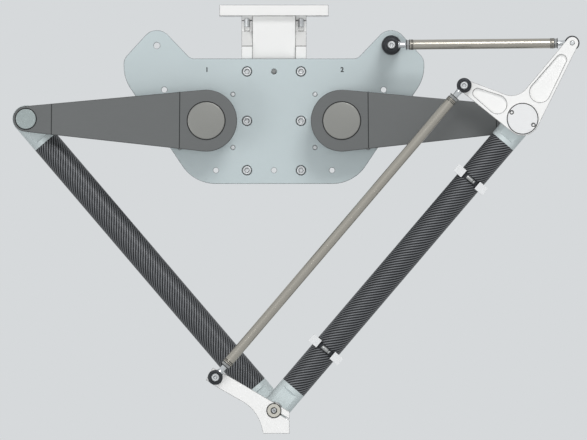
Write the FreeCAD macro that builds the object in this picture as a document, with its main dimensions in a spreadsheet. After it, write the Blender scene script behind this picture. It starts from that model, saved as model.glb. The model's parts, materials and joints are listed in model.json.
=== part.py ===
import FreeCAD, Part
import math
import os
import Sketcher

# Planar two-axis delta robot, millimetres. Origin: centre of the top flange's top face, +Z up.
# The robot faces -Y. Pieces are drawn as the front view shows them: x to the right, y up and
# z out towards the viewer, with z = 0 on the front face of the base plate.

SIZES = {
    # Frame
    "flange_width": 200, "flange_thickness": 20, "flange_depth": 200, "flange_front": 10,
    "side_plate_gap": 79, "side_plate_thickness": 20, "side_plate_depth": 180, "side_plate_end": 318,
    "groove_depth": 2.5, "notch_top": 28, "notch_high": 49, "notch_low": 75, "notch_depth": 30,
    "web_thickness": 15, "web_setback": 10, "web_end": 285,
    "flange_hole_pitch": 160, "flange_hole_radius": 6.75,
    # Base plate outline and holes
    "plate_thickness": 20, "plate_top": 98.7, "plate_end": 328.4, "plate_half_width": 275.6,
    "ear_offset": 214.8, "ear_drop": 74.8, "ear_radius": 28.1, "ear_hole_radius": 5.7,
    "ear_fillet": 17, "ear_fillet_offset": 145.7, "flank_radius": 22, "flank_drop": 108,
    "side_radius": 73, "side_drop": 113, "foot_radius": 73, "foot_offset": 107.3,
    "row_pitch": 90.6, "edge_hole_offset": 106.5, "edge_hole_radius": 4.8,
    "wing_hole_offset": 201.2, "wing_hole_drop": 155.9, "wing_hole_radius": 5.1,
    # Drives
    "shoulder_offset": 124, "shoulder_drop": 213,
    "gearbox_side": 118, "gearbox_corner": 10, "gearbox_flange": 20, "pilot_radius": 45,
    "gearbox_radius": 54, "gearbox_length": 90, "gearbox_screw_offset": 48.7,
    "motor_side": 96, "motor_corner": 9, "motor_length": 150, "adapter_side": 106,
    "adapter_length": 14, "encoder_radius": 40, "encoder_length": 42,
    "plug_radius": 12, "plug_height": 26, "plug_pitch": 34,
    "output_shaft_radius": 25, "output_shaft_length": 50, "hub_radius": 38, "hub_gap": 3,
    # Upper arms
    "arm_length": 330, "arm_tilt": 0.55, "arm_back": 62, "root_radius": 56.5, "tip_radius": 23.4,
    "root_thickness": 40, "tip_thickness": 30, "root_seam": 48.6, "tip_seam": 46.8,
    "cap_radius": 34, "cap_recess": 12, "cap_proud": 2, "cap_thickness": 5, "arm_screw_circle": 22,
    # Forearms
    "forearm_length": 700, "tube_radius": 25, "tube_wall": 3, "left_layer": 31, "right_layer": 130,
    "block_length": 55, "block_half_thickness": 20, "spigot_length": 40,
    "bearing_radius": 16, "bearing_width": 12, "pin_radius": 10, "pin_head_radius": 18.5,
    "pin_head": 3, "boss_radius": 15, "retainer_radius": 14, "retainer_thickness": 3,
    "strap_distance": 146, "strap_width": 11, "strap_thickness": 2.5, "guide_reach": 35,
    "guide_height": 19, "guide_width": 16, "guide_back": 14, "guide_front": 24, "guide_wall": 3,
    "hose_radius": 4.5,
    # Stabiliser linkage
    "crank_back": 158, "crank_thickness": 16, "crank_hub_radius": 31, "crank_tip_radius": 11.3,
    "lower_link_x": 106.8, "lower_link_y": 60.7, "hub_wall": 2, "pocket_depth": 6,
    "crank_fillet": 35, "crank_fillet_x": 20.4, "crank_fillet_y": 77.3,
    "upper_pocket_near": 0.35, "upper_pocket_far": 0.78, "upper_pocket_wide": 19.2,
    "upper_pocket_narrow": 9.7, "lower_pocket_near": 0.43, "lower_pocket_far": 0.77,
    "lower_pocket_wide": 17.4, "lower_pocket_narrow": 8.8,
    "cover_radius": 29, "cover_thickness": 3, "spanner_hole_radius": 3.8, "spanner_hole_reach": 23,
    "upper_rod_layer": 147, "lower_rod_layer": 194, "rod_radius": 9, "rod_inset": 38.4,
    "neck_radius": 6.5, "neck_end": 27.4, "nut_radius": 9.8, "nut_length": 5.6, "collar_radius": 9.4,
    "housing_radius": 13.6, "housing_width": 12, "ball_radius": 9.5, "ball_width": 14,
    "standoff_radius": 17.7, "nose_radius": 6.4, "nose_length": 2,
    # Wrist and tool bracket
    "bracket_thickness": 22, "lever_radius": 14, "bracket_right": 28.5, "bracket_left": 19.6,
    "bracket_drop": 42, "bracket_corner": 3, "bracket_corner_drop": 3.95, "bracket_edge": 0.5,
    "bracket_fillet": 73, "bracket_fillet_x": 93.4, "bracket_fillet_y": 47.2,
    "bracket_foot_depth": 40, "bracket_foot_thickness": 12,
    "tool_hole_pitch": 30, "tool_hole_radius": 2.5, "tool_hole_depth": 10,
    "slit_half_width": 1.1, "slit_x": 37, "slit_drop": 21.4, "slit_root_x": 6.4, "slit_root_drop": 3.7,
    "wrist_pin_radius": 8, "wrist_spacer_radius": 16, "wrist_gap": 57, "sleeve_radius": 12,
    "washer_radius": 12.3, "washer_thickness": 3, "washer_sink_radius": 4.25,
    # Screws, by thread: head radius, head height, shank radius, socket radius
    "big_head": 8, "big_head_height": 10, "big_shank": 5, "big_socket": 4.6, "big_sink": 9,
    "mid_head": 6.5, "mid_head_height": 8, "mid_shank": 4, "mid_socket": 3.5, "mid_sink": 7,
    # Clearances
    "running_fit": 0.05, "ball_fit": 0.08, "seat_fit": 0.02, "thrust_gap": 0.3, "plate_gap": 0.5,
}

doc = FreeCAD.newDocument("delta_robot")
sheet = doc.addObject("Spreadsheet::Sheet", "sizes")
for row, (alias, number) in enumerate(SIZES.items(), 1):
    sheet.set(f"A{row}", alias)
    sheet.set(f"B{row}", str(number))
    sheet.setAlias(f"B{row}", alias)
doc.recompute()


class Size:
    """A length that keeps its number and the sheet expression that it comes from."""

    def __init__(self, number, text):
        self.number = float(number)
        self.text = text

    def __float__(self):
        return self.number

    def __add__(self, other):
        other = as_size(other)
        return Size(self.number + other.number, f"({self.text} + {other.text})")

    def __sub__(self, other):
        other = as_size(other)
        return Size(self.number - other.number, f"({self.text} - {other.text})")

    def __mul__(self, other):
        other = as_size(other)
        return Size(self.number * other.number, f"({self.text} * {other.text})")

    def __truediv__(self, other):
        other = as_size(other)
        return Size(self.number / other.number, f"({self.text} / {other.text})")

    def __radd__(self, other):
        return as_size(other) + self

    def __rsub__(self, other):
        return as_size(other) - self

    def __rmul__(self, other):
        return as_size(other) * self

    def __neg__(self):
        return as_size(0) - self


def as_size(value):
    return value if isinstance(value, Size) else Size(value, repr(float(value)))


class Sizes:
    """Reads any named size of the sheet as an attribute."""

    def __getattr__(self, alias):
        return Size(getattr(sheet, alias), f"sizes.{alias}")


S = Sizes()
finished = []
AXES = {
    "z": FreeCAD.Rotation(),
    "-z": FreeCAD.Rotation(FreeCAD.Vector(1, 0, 0), 180),
    "y": FreeCAD.Rotation(FreeCAD.Vector(1, 0, 0), -90),
    "x": FreeCAD.Rotation(FreeCAD.Vector(0, 1, 0), 90),
    "-x": FreeCAD.Rotation(FreeCAD.Vector(0, 1, 0), -90),
}


def bind(obj, **sizes):
    """Set each property to its size and tie it to the sheet."""
    for name, size in sizes.items():
        size = as_size(size)
        setattr(obj, name, size.number)
        obj.setExpression(name, size.text)


def bind_base(obj, point, rotation=FreeCAD.Rotation()):
    """Place an object at a point made of sizes."""
    sizes = [as_size(value) for value in point]
    obj.Placement = FreeCAD.Placement(FreeCAD.Vector(*[s.number for s in sizes]), rotation)
    for axis, size in zip("xyz", sizes):
        obj.setExpression(f"Placement.Base.{axis}", size.text)


def finish(obj, label, x=0, up=0, layer=0, turn=0):
    """Name a sub-part and stand it in the robot: its drawing plane becomes the front view."""
    upright = FreeCAD.Rotation(FreeCAD.Vector(1, 0, 0), 90)
    in_plane = FreeCAD.Rotation(FreeCAD.Vector(0, 0, 1), float(turn))
    plate_face = float(S.flange_depth / 2 + S.flange_front)
    base = FreeCAD.Vector(float(x), -plate_face - float(layer), float(up))
    obj.Label = label
    obj.Placement = FreeCAD.Placement(base, upright * in_plane)
    finished.append(obj)


# Outlines: each draws on a sketch and ties it to the sheet

def fix_point(sketch, geometry, place, x, y):
    for kind, size in (("DistanceX", as_size(x)), ("DistanceY", as_size(y))):
        index = sketch.addConstraint(
            Sketcher.Constraint(kind, -1, 1, geometry, place, size.number))
        sketch.setExpression(f"Constraints[{index}]", size.text)


def fix_radius(sketch, geometry, radius):
    index = sketch.addConstraint(Sketcher.Constraint("Radius", geometry, radius.number))
    sketch.setExpression(f"Constraints[{index}]", radius.text)


def circle(sketch, x, y, radius):
    radius = as_size(radius)
    centre = FreeCAD.Vector(float(x), float(y), 0)
    ring = Part.Circle(centre, FreeCAD.Vector(0, 0, 1), radius.number)
    geometry = sketch.addGeometry(ring, False)
    fix_point(sketch, geometry, 3, x, y)
    fix_radius(sketch, geometry, radius)


def circles(spots, radius):
    return lambda sketch: [circle(sketch, x, y, radius) for x, y in spots]


def polygon(points):
    """A closed outline of straight lines."""
    def draw(sketch):
        corners = [FreeCAD.Vector(float(x), float(y), 0) for x, y in points]
        lines = [sketch.addGeometry(Part.LineSegment(a, b), False)
                 for a, b in zip(corners, corners[1:] + corners[:1])]
        for line, following in zip(lines, lines[1:] + lines[:1]):
            sketch.addConstraint(Sketcher.Constraint("Coincident", line, 2, following, 1))
        for line, (x, y) in zip(lines, points):
            fix_point(sketch, line, 1, x, y)
    return draw


def rectangle(left, bottom, right, top):
    return polygon([(left, bottom), (right, bottom), (right, top), (left, top)])


def belt(rounds):
    """An outline that runs like a belt round circles (x, y, radius, side), anticlockwise.
    Side 1 is a corner that bulges out, side -1 a hollow one."""
    def draw(sketch):
        rings = [(float(x), float(y), float(r), side) for x, y, r, side in rounds]
        count = len(rings)
        leaving, arriving = [None] * count, [None] * count
        for i, (x0, y0, r0, side0) in enumerate(rings):
            x1, y1, r1, side1 = rings[(i + 1) % count]
            gap = math.hypot(x1 - x0, y1 - y0)
            heading = math.atan2(y1 - y0, x1 - x0) - math.asin((side1 * r1 - side0 * r0) / gap)
            normal = FreeCAD.Vector(-math.sin(heading), math.cos(heading), 0)
            leaving[i] = FreeCAD.Vector(x0, y0, 0) - normal * (side0 * r0)
            arriving[(i + 1) % count] = FreeCAD.Vector(x1, y1, 0) - normal * (side1 * r1)
        arcs, lines = [], []
        for i, (x, y, r, side) in enumerate(rings):
            first, last = (arriving[i], leaving[i]) if side > 0 else (leaving[i], arriving[i])
            start = math.atan2(first.y - y, first.x - x)
            sweep = (math.atan2(last.y - y, last.x - x) - start) % (2 * math.pi)
            ring = Part.Circle(FreeCAD.Vector(x, y, 0), FreeCAD.Vector(0, 0, 1), r)
            arcs.append(sketch.addGeometry(Part.ArcOfCircle(ring, start, start + sweep), False))
        for i in range(count):
            line = Part.LineSegment(leaving[i], arriving[(i + 1) % count])
            lines.append(sketch.addGeometry(line, False))
        for i, (x, y, r, side) in enumerate(rounds):
            exit_end, entry_end = (2, 1) if side > 0 else (1, 2)
            fix_point(sketch, arcs[i], 3, x, y)
            fix_radius(sketch, arcs[i], as_size(r))
            sketch.addConstraint(Sketcher.Constraint("Tangent", lines[i], 1, arcs[i], exit_end))
            sketch.addConstraint(Sketcher.Constraint("Tangent", lines[i - 1], 2, arcs[i], entry_end))
    return draw


def square(side, corner):
    """A square with round corners about the middle."""
    reach = side / 2 - corner
    return belt([(reach, -reach, corner, 1), (reach, reach, corner, 1),
                 (-reach, reach, corner, 1), (-reach, -reach, corner, 1)])


class Piece:
    """One solid made of pads, pockets and revolutions, along the z of its drawing."""

    def __init__(self, name):
        self.name = name
        self.body = doc.addObject("PartDesign::Body", name)
        self.steps = 0

    def sketch(self, draw, plane, offset):
        self.steps += 1
        sketch = self.body.newObject("Sketcher::SketchObject", f"{self.name}_sketch_{self.steps}")
        face = next(f for f in self.body.Origin.OriginFeatures if f.Role == plane)
        sketch.AttachmentSupport = [(face, "")]
        sketch.MapMode = "FlatFace"
        offset = as_size(offset)
        sketch.AttachmentOffset = FreeCAD.Placement(
            FreeCAD.Vector(0, 0, offset.number), FreeCAD.Rotation())
        sketch.setExpression("AttachmentOffset.Base.z", offset.text)
        draw(sketch)
        return sketch

    def pad(self, draw, start, length, plane="XY_Plane"):
        sketch = self.sketch(draw, plane, start)
        pad = self.body.newObject("PartDesign::Pad", f"{self.name}_pad_{self.steps}")
        pad.Profile = sketch
        bind(pad, Length=length)
        sketch.Visibility = False
        return self

    def pocket(self, draw, start, length, plane="XY_Plane"):
        """Cut from the start level towards the viewer."""
        sketch = self.sketch(draw, plane, start)
        pocket = self.body.newObject("PartDesign::Pocket", f"{self.name}_pocket_{self.steps}")
        pocket.Profile = sketch
        pocket.Reversed = True
        bind(pocket, Length=length)
        return self

    def through(self, draw, plane="XY_Plane"):
        """Cut right through, both ways from the plane."""
        sketch = self.sketch(draw, plane, 0)
        pocket = self.body.newObject("PartDesign::Pocket", f"{self.name}_pocket_{self.steps}")
        pocket.Profile = sketch
        pocket.Type = "ThroughAll"
        pocket.Midplane = True
        return self

    def turned(self, profile):
        """Revolve a profile of (radius, z) points about z."""
        sketch = self.sketch(polygon(profile), "XZ_Plane", 0)
        turned = self.body.newObject("PartDesign::Revolution", f"{self.name}_turned_{self.steps}")
        turned.Profile = sketch
        turned.ReferenceAxis = (sketch, ["V_Axis"])
        turned.Angle = 360
        return self

    def finish(self, label, **place):
        finish(self.body, label, **place)


def origin_circle(radius):
    return circles([(0, 0)], radius)


# Solids for groups and for shapes that a pad can't give

def cylinder(radius, length, point=(0, 0, 0), axis="z"):
    obj = doc.addObject("Part::Cylinder", "cylinder")
    bind(obj, Radius=radius, Height=length)
    bind_base(obj, point, AXES[axis])
    return obj


def box(low, size):
    obj = doc.addObject("Part::Box", "box")
    bind(obj, Length=size[0], Width=size[1], Height=size[2])
    bind_base(obj, low)
    return obj


def sphere(radius, point=(0, 0, 0)):
    obj = doc.addObject("Part::Sphere", "sphere")
    bind(obj, Radius=radius)
    bind_base(obj, point)
    return obj


def hexagon(radius, length, point, axis="z"):
    obj = doc.addObject("Part::Prism", "hexagon")
    obj.Polygon = 6
    bind(obj, Circumradius=radius, Height=length)
    bind_base(obj, point, AXES[axis])
    return obj


def fuse(solids):
    if len(solids) == 1:
        return solids[0]
    obj = doc.addObject("Part::MultiFuse", "fuse")
    obj.Shapes = solids
    return obj


def common(first, second):
    obj = doc.addObject("Part::Common", "common")
    obj.Base, obj.Tool = first, second
    return obj


def cut(base, tools):
    obj = doc.addObject("Part::Cut", "cut")
    obj.Base, obj.Tool = base, fuse(tools)
    return obj


def along(point, axis, distance):
    """The point moved by a distance along an axis."""
    step = {"x": (1, 0, 0), "-x": (-1, 0, 0), "y": (0, 1, 0), "z": (0, 0, 1), "-z": (0, 0, -1)}[axis]
    return tuple(as_size(p) + as_size(distance) * s if s else p for p, s in zip(point, step))


def screws(kind, spots, length):
    """Socket-head screws: each spot is (point under the head, axis from shank to head)."""
    head, height = getattr(S, kind + "_head"), getattr(S, kind + "_head_height")
    shank, socket = getattr(S, kind + "_shank"), getattr(S, kind + "_socket")
    solids, sockets = [], []
    for point, axis in spots:
        solids.append(cylinder(head, height, point, axis))
        solids.append(cylinder(shank, length + 1, along(point, axis, -length), axis))
        sockets.append(hexagon(socket, height, along(point, axis, height / 2), axis))
    return cut(fuse(solids), sockets)


# Frame

def mirrored(spots):
    return spots + [(-x, y) for x, y in spots]


def frame_rows():
    return [-S.shoulder_drop + S.row_pitch, -S.shoulder_drop, -S.shoulder_drop - S.row_pitch]


def column_offset():
    """Middle of a side plate's thickness."""
    return (S.side_plate_gap + S.side_plate_thickness) / 2


def flange_screw_levels():
    middle = -S.flange_front - S.flange_depth / 2
    return [middle + S.side_plate_depth / 3, middle, middle - S.side_plate_depth / 3]


def web_screw_rows():
    return [-S.plate_top, -S.shoulder_drop + S.row_pitch / 2, -S.web_end + S.row_pitch / 3]


def web_levels():
    front = -S.plate_thickness - S.web_setback - S.web_thickness
    back = -S.plate_thickness - S.side_plate_depth + S.web_setback
    return front, back


def top_flange():
    back = -S.flange_front - S.flange_depth
    seat = -S.flange_thickness
    half = S.flange_width / 2
    piece = Piece("top_flange")
    piece.pad(rectangle(-half, seat, half, 0), back, S.flange_depth)
    for side in (1, -1):
        inner = side * S.side_plate_gap / 2
        outer = inner + side * S.side_plate_thickness
        left, right = (inner, outer) if side > 0 else (outer, inner)
        groove = rectangle(left, seat, right, seat + S.groove_depth)
        piece.pocket(groove, -S.plate_thickness - S.side_plate_depth, S.side_plate_depth)
    pitch = S.flange_hole_pitch / 2
    middle = -S.flange_front - S.flange_depth / 2
    corners = [(x, middle + y) for x in (pitch, -pitch) for y in (pitch, -pitch)]
    piece.through(circles(corners, S.flange_hole_radius), "XZ_Plane")
    spots = mirrored([(column_offset(), level) for level in flange_screw_levels()])
    piece.through(circles(spots, S.big_shank + S.running_fit), "XZ_Plane")
    sink = S.big_head_height + S.plate_gap
    piece.pocket(circles(spots, S.big_sink), 0, sink, "XZ_Plane")
    piece.finish("top_flange")


def side_plate(label, side):
    top = -S.flange_thickness + S.groove_depth
    front, back = -S.plate_thickness, -S.plate_thickness - S.side_plate_depth
    outline = [(top, front - S.notch_depth / 2), (-S.notch_top, front - S.notch_depth),
               (-S.notch_high, front - S.notch_depth), (-S.notch_low, front),
               (-S.side_plate_end, front), (-S.side_plate_end, back), (top, back)]
    start = S.side_plate_gap / 2 if side > 0 else -S.side_plate_gap / 2 - S.side_plate_thickness
    piece = Piece(label)
    piece.pad(polygon(outline), start, S.side_plate_thickness, "YZ_Plane")
    offset = column_offset() if side > 0 else -column_offset()
    thread = S.big_shank + S.running_fit
    depth = S.plate_thickness + S.big_head_height
    piece.pocket(circles([(offset, row) for row in frame_rows()], thread), front - depth, depth)
    spots = [(offset, level) for level in flange_screw_levels()]
    piece.pocket(circles(spots, thread), S.flange_thickness - S.groove_depth, depth, "XZ_Plane")
    webs = [(row, level + S.web_thickness / 2) for row in web_screw_rows() for level in web_levels()]
    piece.through(circles(webs, S.mid_shank + S.running_fit), "YZ_Plane")
    sink = S.mid_head_height + S.plate_gap
    outer_face = start + S.side_plate_thickness - sink if side > 0 else start
    piece.pocket(circles(webs, S.mid_sink), outer_face, sink, "YZ_Plane")
    piece.finish(label)


def web(label, back):
    half = S.side_plate_gap / 2
    piece = Piece(label)
    piece.pad(rectangle(-half, -S.web_end, half, -S.flange_thickness), back, S.web_thickness)
    spots = [(row, back + S.web_thickness / 2) for row in web_screw_rows()]
    piece.through(circles(spots, S.mid_shank + S.running_fit), "YZ_Plane")
    piece.finish(label)


def base_plate():
    right = [
        (S.foot_offset, -S.plate_end + S.foot_radius, S.foot_radius, 1),
        (S.plate_half_width - S.side_radius, -S.side_drop, S.side_radius, 1),
        (S.plate_half_width - S.flank_radius, -S.flank_drop, S.flank_radius, 1),
        (S.ear_offset, -S.ear_drop, S.ear_radius, 1),
        (S.ear_fillet_offset, -S.plate_top + S.ear_fillet, S.ear_fillet, -1),
    ]
    left = [(-x, y, radius, side) for x, y, radius, side in reversed(right)]
    piece = Piece("base_plate")
    piece.pad(belt(right + left), -S.plate_thickness, S.plate_thickness)
    piece.through(circles(mirrored([(S.ear_offset, -S.ear_drop)]), S.ear_hole_radius))
    piece.through(circles(mirrored([(S.wing_hole_offset, -S.wing_hole_drop)]), S.wing_hole_radius))
    upper, middle, lower = frame_rows()
    piece.through(circles(mirrored([(S.edge_hole_offset, lower)]), S.edge_hole_radius))
    piece.through(circles([(0, upper), (0, lower)], S.edge_hole_radius))
    piece.through(circles(mirrored([(S.shoulder_offset, middle)]), S.pilot_radius + S.seat_fit))
    corners = [(S.shoulder_offset + x, middle + y) for x in gearbox_corners() for y in gearbox_corners()]
    piece.through(circles(mirrored(corners), S.mid_shank + S.running_fit))
    columns = mirrored([(column_offset(), row) for row in frame_rows()])
    piece.through(circles(columns, S.big_shank + S.running_fit))
    sink = S.big_head_height + S.plate_gap
    piece.pocket(circles(columns, S.big_sink), -sink, sink)
    piece.finish("base_plate")


def gearbox_corners():
    return (S.gearbox_screw_offset, -S.gearbox_screw_offset)


def frame_screws():
    seat = -S.big_head_height - S.plate_gap
    columns = mirrored([(column_offset(), row) for row in frame_rows()])
    length = S.plate_thickness + S.big_head_height
    finish(screws("big", [((x, y, seat), "z") for x, y in columns], length), "base_plate_screws")
    tops = mirrored([(column_offset(), level) for level in flange_screw_levels()])
    finish(screws("big", [((x, seat, z), "y") for x, z in tops], length), "flange_screws")
    face = S.side_plate_gap / 2 + S.side_plate_thickness - S.mid_head_height - S.plate_gap
    spots = []
    for row in web_screw_rows():
        for level in web_levels():
            middle = level + S.web_thickness / 2
            spots += [((face, row, middle), "x"), ((-face, row, middle), "-x")]
    finish(screws("mid", spots, S.side_plate_thickness + S.mid_head_height), "web_screws")


# Drives

def gearbox(label, side):
    back = -S.plate_thickness - S.gearbox_flange
    piece = Piece(label)
    piece.pad(square(S.gearbox_side, S.gearbox_corner), back, S.gearbox_flange)
    piece.pad(origin_circle(S.pilot_radius), -S.plate_thickness, S.plate_thickness - S.plate_gap)
    piece.pad(origin_circle(S.gearbox_radius), back - S.gearbox_length, S.gearbox_length)
    bore = S.output_shaft_length + S.plate_gap
    piece.pocket(origin_circle(S.output_shaft_radius + S.running_fit), -bore, bore)
    spots = [(x, y) for x in gearbox_corners() for y in gearbox_corners()]
    piece.through(circles(spots, S.mid_shank + S.running_fit))
    piece.finish(label, x=side * S.shoulder_offset, up=-S.shoulder_drop)


def motor_front():
    return -S.plate_thickness - S.gearbox_flange - S.gearbox_length


def servo_motor(label, side):
    front = motor_front()
    piece = Piece(label)
    piece.pad(square(S.adapter_side, S.motor_corner), front - S.adapter_length, S.adapter_length)
    back = front - S.adapter_length - S.motor_length
    piece.pad(square(S.motor_side, S.motor_corner), back, S.motor_length)
    piece.pad(origin_circle(S.encoder_radius), back - S.encoder_length, S.encoder_length)
    piece.finish(label, x=side * S.shoulder_offset, up=-S.shoulder_drop)


def motor_connectors():
    back = motor_front() - S.adapter_length - S.motor_length
    top = -S.shoulder_drop + S.motor_side / 2
    solids, holes = [], []
    for side in (1, -1):
        for step in (1, 2):
            spot = (side * S.shoulder_offset, top, back + S.plug_pitch * step)
            solids.append(cylinder(S.plug_radius, S.plug_height, spot, "y"))
            rim = along(spot, "y", S.plug_height / 2)
            holes.append(cylinder(S.plug_radius - 2, S.plug_height, rim, "y"))
    finish(cut(fuse(solids), holes), "motor_connectors")


def gearbox_screws():
    seat = -S.plate_thickness - S.gearbox_flange
    spots = []
    for side in (1, -1):
        for x in gearbox_corners():
            for y in gearbox_corners():
                spots.append(((side * S.shoulder_offset + x, y - S.shoulder_drop, seat), "-z"))
    length = S.plate_thickness + S.gearbox_flange - S.plate_gap
    finish(screws("mid", spots, length), "gearbox_screws")


# Upper arms

def arm_screw_spots():
    turns = [math.radians(45 * step) for step in range(8)]
    return [(S.arm_screw_circle * math.cos(t), S.arm_screw_circle * math.sin(t)) for t in turns]


def upper_arm(side, x, turn):
    """One upper arm with its drive flange, screws and cap; it points along its own +x."""
    name = "right" if side > 0 else "left"
    where = {"x": x, "up": -S.shoulder_drop, "turn": turn}
    front = S.arm_back + S.root_thickness
    recess = front - S.cap_recess

    flange = Piece(name + "_output_flange")
    flange.pad(origin_circle(S.hub_radius), S.hub_gap, S.arm_back - S.hub_gap)
    shaft = S.output_shaft_length - S.thrust_gap
    flange.pad(origin_circle(S.output_shaft_radius), -shaft, shaft + S.hub_gap)
    depth = S.mid_head * 3
    thread = S.mid_shank + S.running_fit
    flange.pocket(circles(arm_screw_spots(), thread), S.arm_back - depth, depth)
    flange.finish(name + "_output_flange", **where)

    arm = Piece(name + "_upper_arm")
    arm.pad(belt([(0, 0, S.root_radius, 1), (S.arm_length, 0, S.tip_radius, 1)]),
            S.arm_back, S.root_thickness)
    tip_face = S.arm_back + S.tip_thickness
    slope = [(S.root_seam, front), (S.arm_length - S.tip_seam, tip_face),
             (S.arm_length + S.root_radius, tip_face), (S.arm_length + S.root_radius, front + 1),
             (S.root_seam, front + 1)]
    arm.through(polygon(slope), "XZ_Plane")
    arm.pocket(origin_circle(S.cap_radius + S.seat_fit), recess, S.cap_recess)
    arm.through(circles(arm_screw_spots(), thread))
    tip = circles([(S.arm_length, 0)], S.boss_radius)
    if side > 0:
        reach = S.right_layer - S.block_half_thickness - S.thrust_gap
        arm.pad(tip, tip_face, reach - tip_face)
    else:
        reach = S.left_layer + S.block_half_thickness + S.thrust_gap
        arm.pad(tip, reach, S.arm_back - reach)
    arm.through(circles([(S.arm_length, 0)], S.pin_radius))
    arm.finish(name + "_upper_arm", **where)

    spots = [((px, py, recess), "z") for px, py in arm_screw_spots()]
    length = recess - S.arm_back + depth - S.plate_gap
    finish(screws("mid", spots, length), name + "_arm_screws", **where)

    cap = Piece(name + "_shoulder_cap")
    cap.pad(origin_circle(S.cap_radius), front + S.cap_proud - S.cap_thickness, S.cap_thickness)
    cap.finish(name + "_shoulder_cap", **where)


def elbow_pins(elbow_x, elbow_up):
    """The left pin goes in from the front; the right one carries the bell crank as well."""
    tip_face = S.arm_back + S.tip_thickness
    left = {"x": -elbow_x, "up": elbow_up}
    back = S.left_layer - S.block_half_thickness - S.thrust_gap
    pin = Piece("left_elbow_pin")
    pin.turned([(0, back), (S.pin_radius, back), (S.pin_radius, tip_face),
                (S.pin_head_radius, tip_face), (S.pin_head_radius, tip_face + S.pin_head),
                (0, tip_face + S.pin_head)])
    pin.finish("left_elbow_pin", **left)
    retainer = Piece("left_elbow_retainer")
    retainer.pad(origin_circle(S.retainer_radius), back - S.retainer_thickness, S.retainer_thickness)
    retainer.finish("left_elbow_retainer", **left)
    front = S.crank_back + S.crank_thickness - S.thrust_gap
    pin = Piece("right_elbow_pin")
    head = S.arm_back - S.pin_head
    pin.turned([(0, head), (S.pin_head_radius, head), (S.pin_head_radius, S.arm_back),
                (S.pin_radius, S.arm_back), (S.pin_radius, front), (0, front)])
    pin.finish("right_elbow_pin", x=elbow_x, up=elbow_up)


# Forearms

def end_block(label, inner, **where):
    """A turned block of the tube's diameter with milled flats, an eye and a spigot."""
    half = S.block_half_thickness
    eye = cylinder(S.tube_radius, half * 2, (0, 0, -half))
    shank = box((0, -S.tube_radius, -half), (S.block_length, S.tube_radius * 2, half * 2))
    bar = cylinder(S.tube_radius, S.block_length + S.tube_radius, (-S.tube_radius, 0, 0), "x")
    collar = cylinder(S.tube_radius, S.block_length / 6, (S.block_length * 5 / 6, 0, 0), "x")
    spigot = cylinder(S.tube_radius - S.tube_wall - S.seat_fit, S.spigot_length,
                      (S.block_length, 0, 0), "x")
    solid = fuse([common(fuse([eye, shank]), bar), collar, spigot])
    bore = cylinder(inner, half * 2 + 2, (0, 0, -half - 1))
    finish(cut(solid, [bore]), label, **where)


def bearing_pair(label, inner, **where):
    """Two bearings, one flush with each face of a block."""
    half, width = S.block_half_thickness, S.bearing_width
    outer = S.bearing_radius - S.seat_fit
    rings = [cylinder(outer, width, (0, 0, -half)), cylinder(outer, width, (0, 0, half - width))]
    bore = cylinder(inner, half * 2 + 2, (0, 0, -half - 1))
    finish(cut(fuse(rings), [bore]), label, **where)


def forearm_tube(label, **where):
    start = S.block_length
    length = S.forearm_length - S.block_length * 2
    tube = cylinder(S.tube_radius, length, (start, 0, 0), "x")
    hollow = cylinder(S.tube_radius - S.tube_wall, length + 2, (start - 1, 0, 0), "x")
    finish(cut(tube, [hollow]), label, **where)


def left_wrist_stub(**where):
    """The short journal of the left wrist, whose collar meets the wrist pin."""
    half = S.block_half_thickness
    collar = S.wrist_gap - S.left_layer - S.thrust_gap
    pin = Piece("left_wrist_stub")
    pin.turned([(0, -half), (S.pin_radius, -half), (S.pin_radius, half),
                (S.wrist_spacer_radius, half), (S.wrist_spacer_radius, collar), (0, collar)])
    pin.finish("left_wrist_stub", **where)


def strap_places():
    return (S.strap_distance, S.forearm_length - S.strap_distance)


def hose_holders(**where):
    """Two straps round the right tube, each with a pair of hose guide blocks."""
    outer = S.tube_radius + S.strap_thickness
    rings, hollows, blocks, holes = [], [], [], []
    for place in strap_places():
        start = place - S.strap_width / 2
        rings.append(cylinder(outer, S.strap_width, (start, 0, 0), "x"))
        hollows.append(cylinder(S.tube_radius + S.seat_fit, S.strap_width + 2, (start - 1, 0, 0), "x"))
        left = place - S.guide_width / 2
        for low in (S.guide_reach - S.guide_height, -S.guide_reach):
            size = (S.guide_width, S.guide_height, S.guide_back + S.guide_front)
            blocks.append(box((left, low, -S.guide_back), size))
        for up in (1, -1):
            middle = (left - 1, up * (S.guide_reach - S.hose_radius - S.guide_wall), 0)
            holes.append(cylinder(S.hose_radius, S.guide_width + 2, middle, "x"))
        holes.append(cylinder(outer + S.seat_fit, S.guide_width + 2, (left - 1, 0, 0), "x"))
    finish(cut(fuse(rings), hollows), "hose_straps", **where)
    finish(cut(fuse(blocks), holes), "hose_guides", **where)


# Stabiliser linkage

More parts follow.
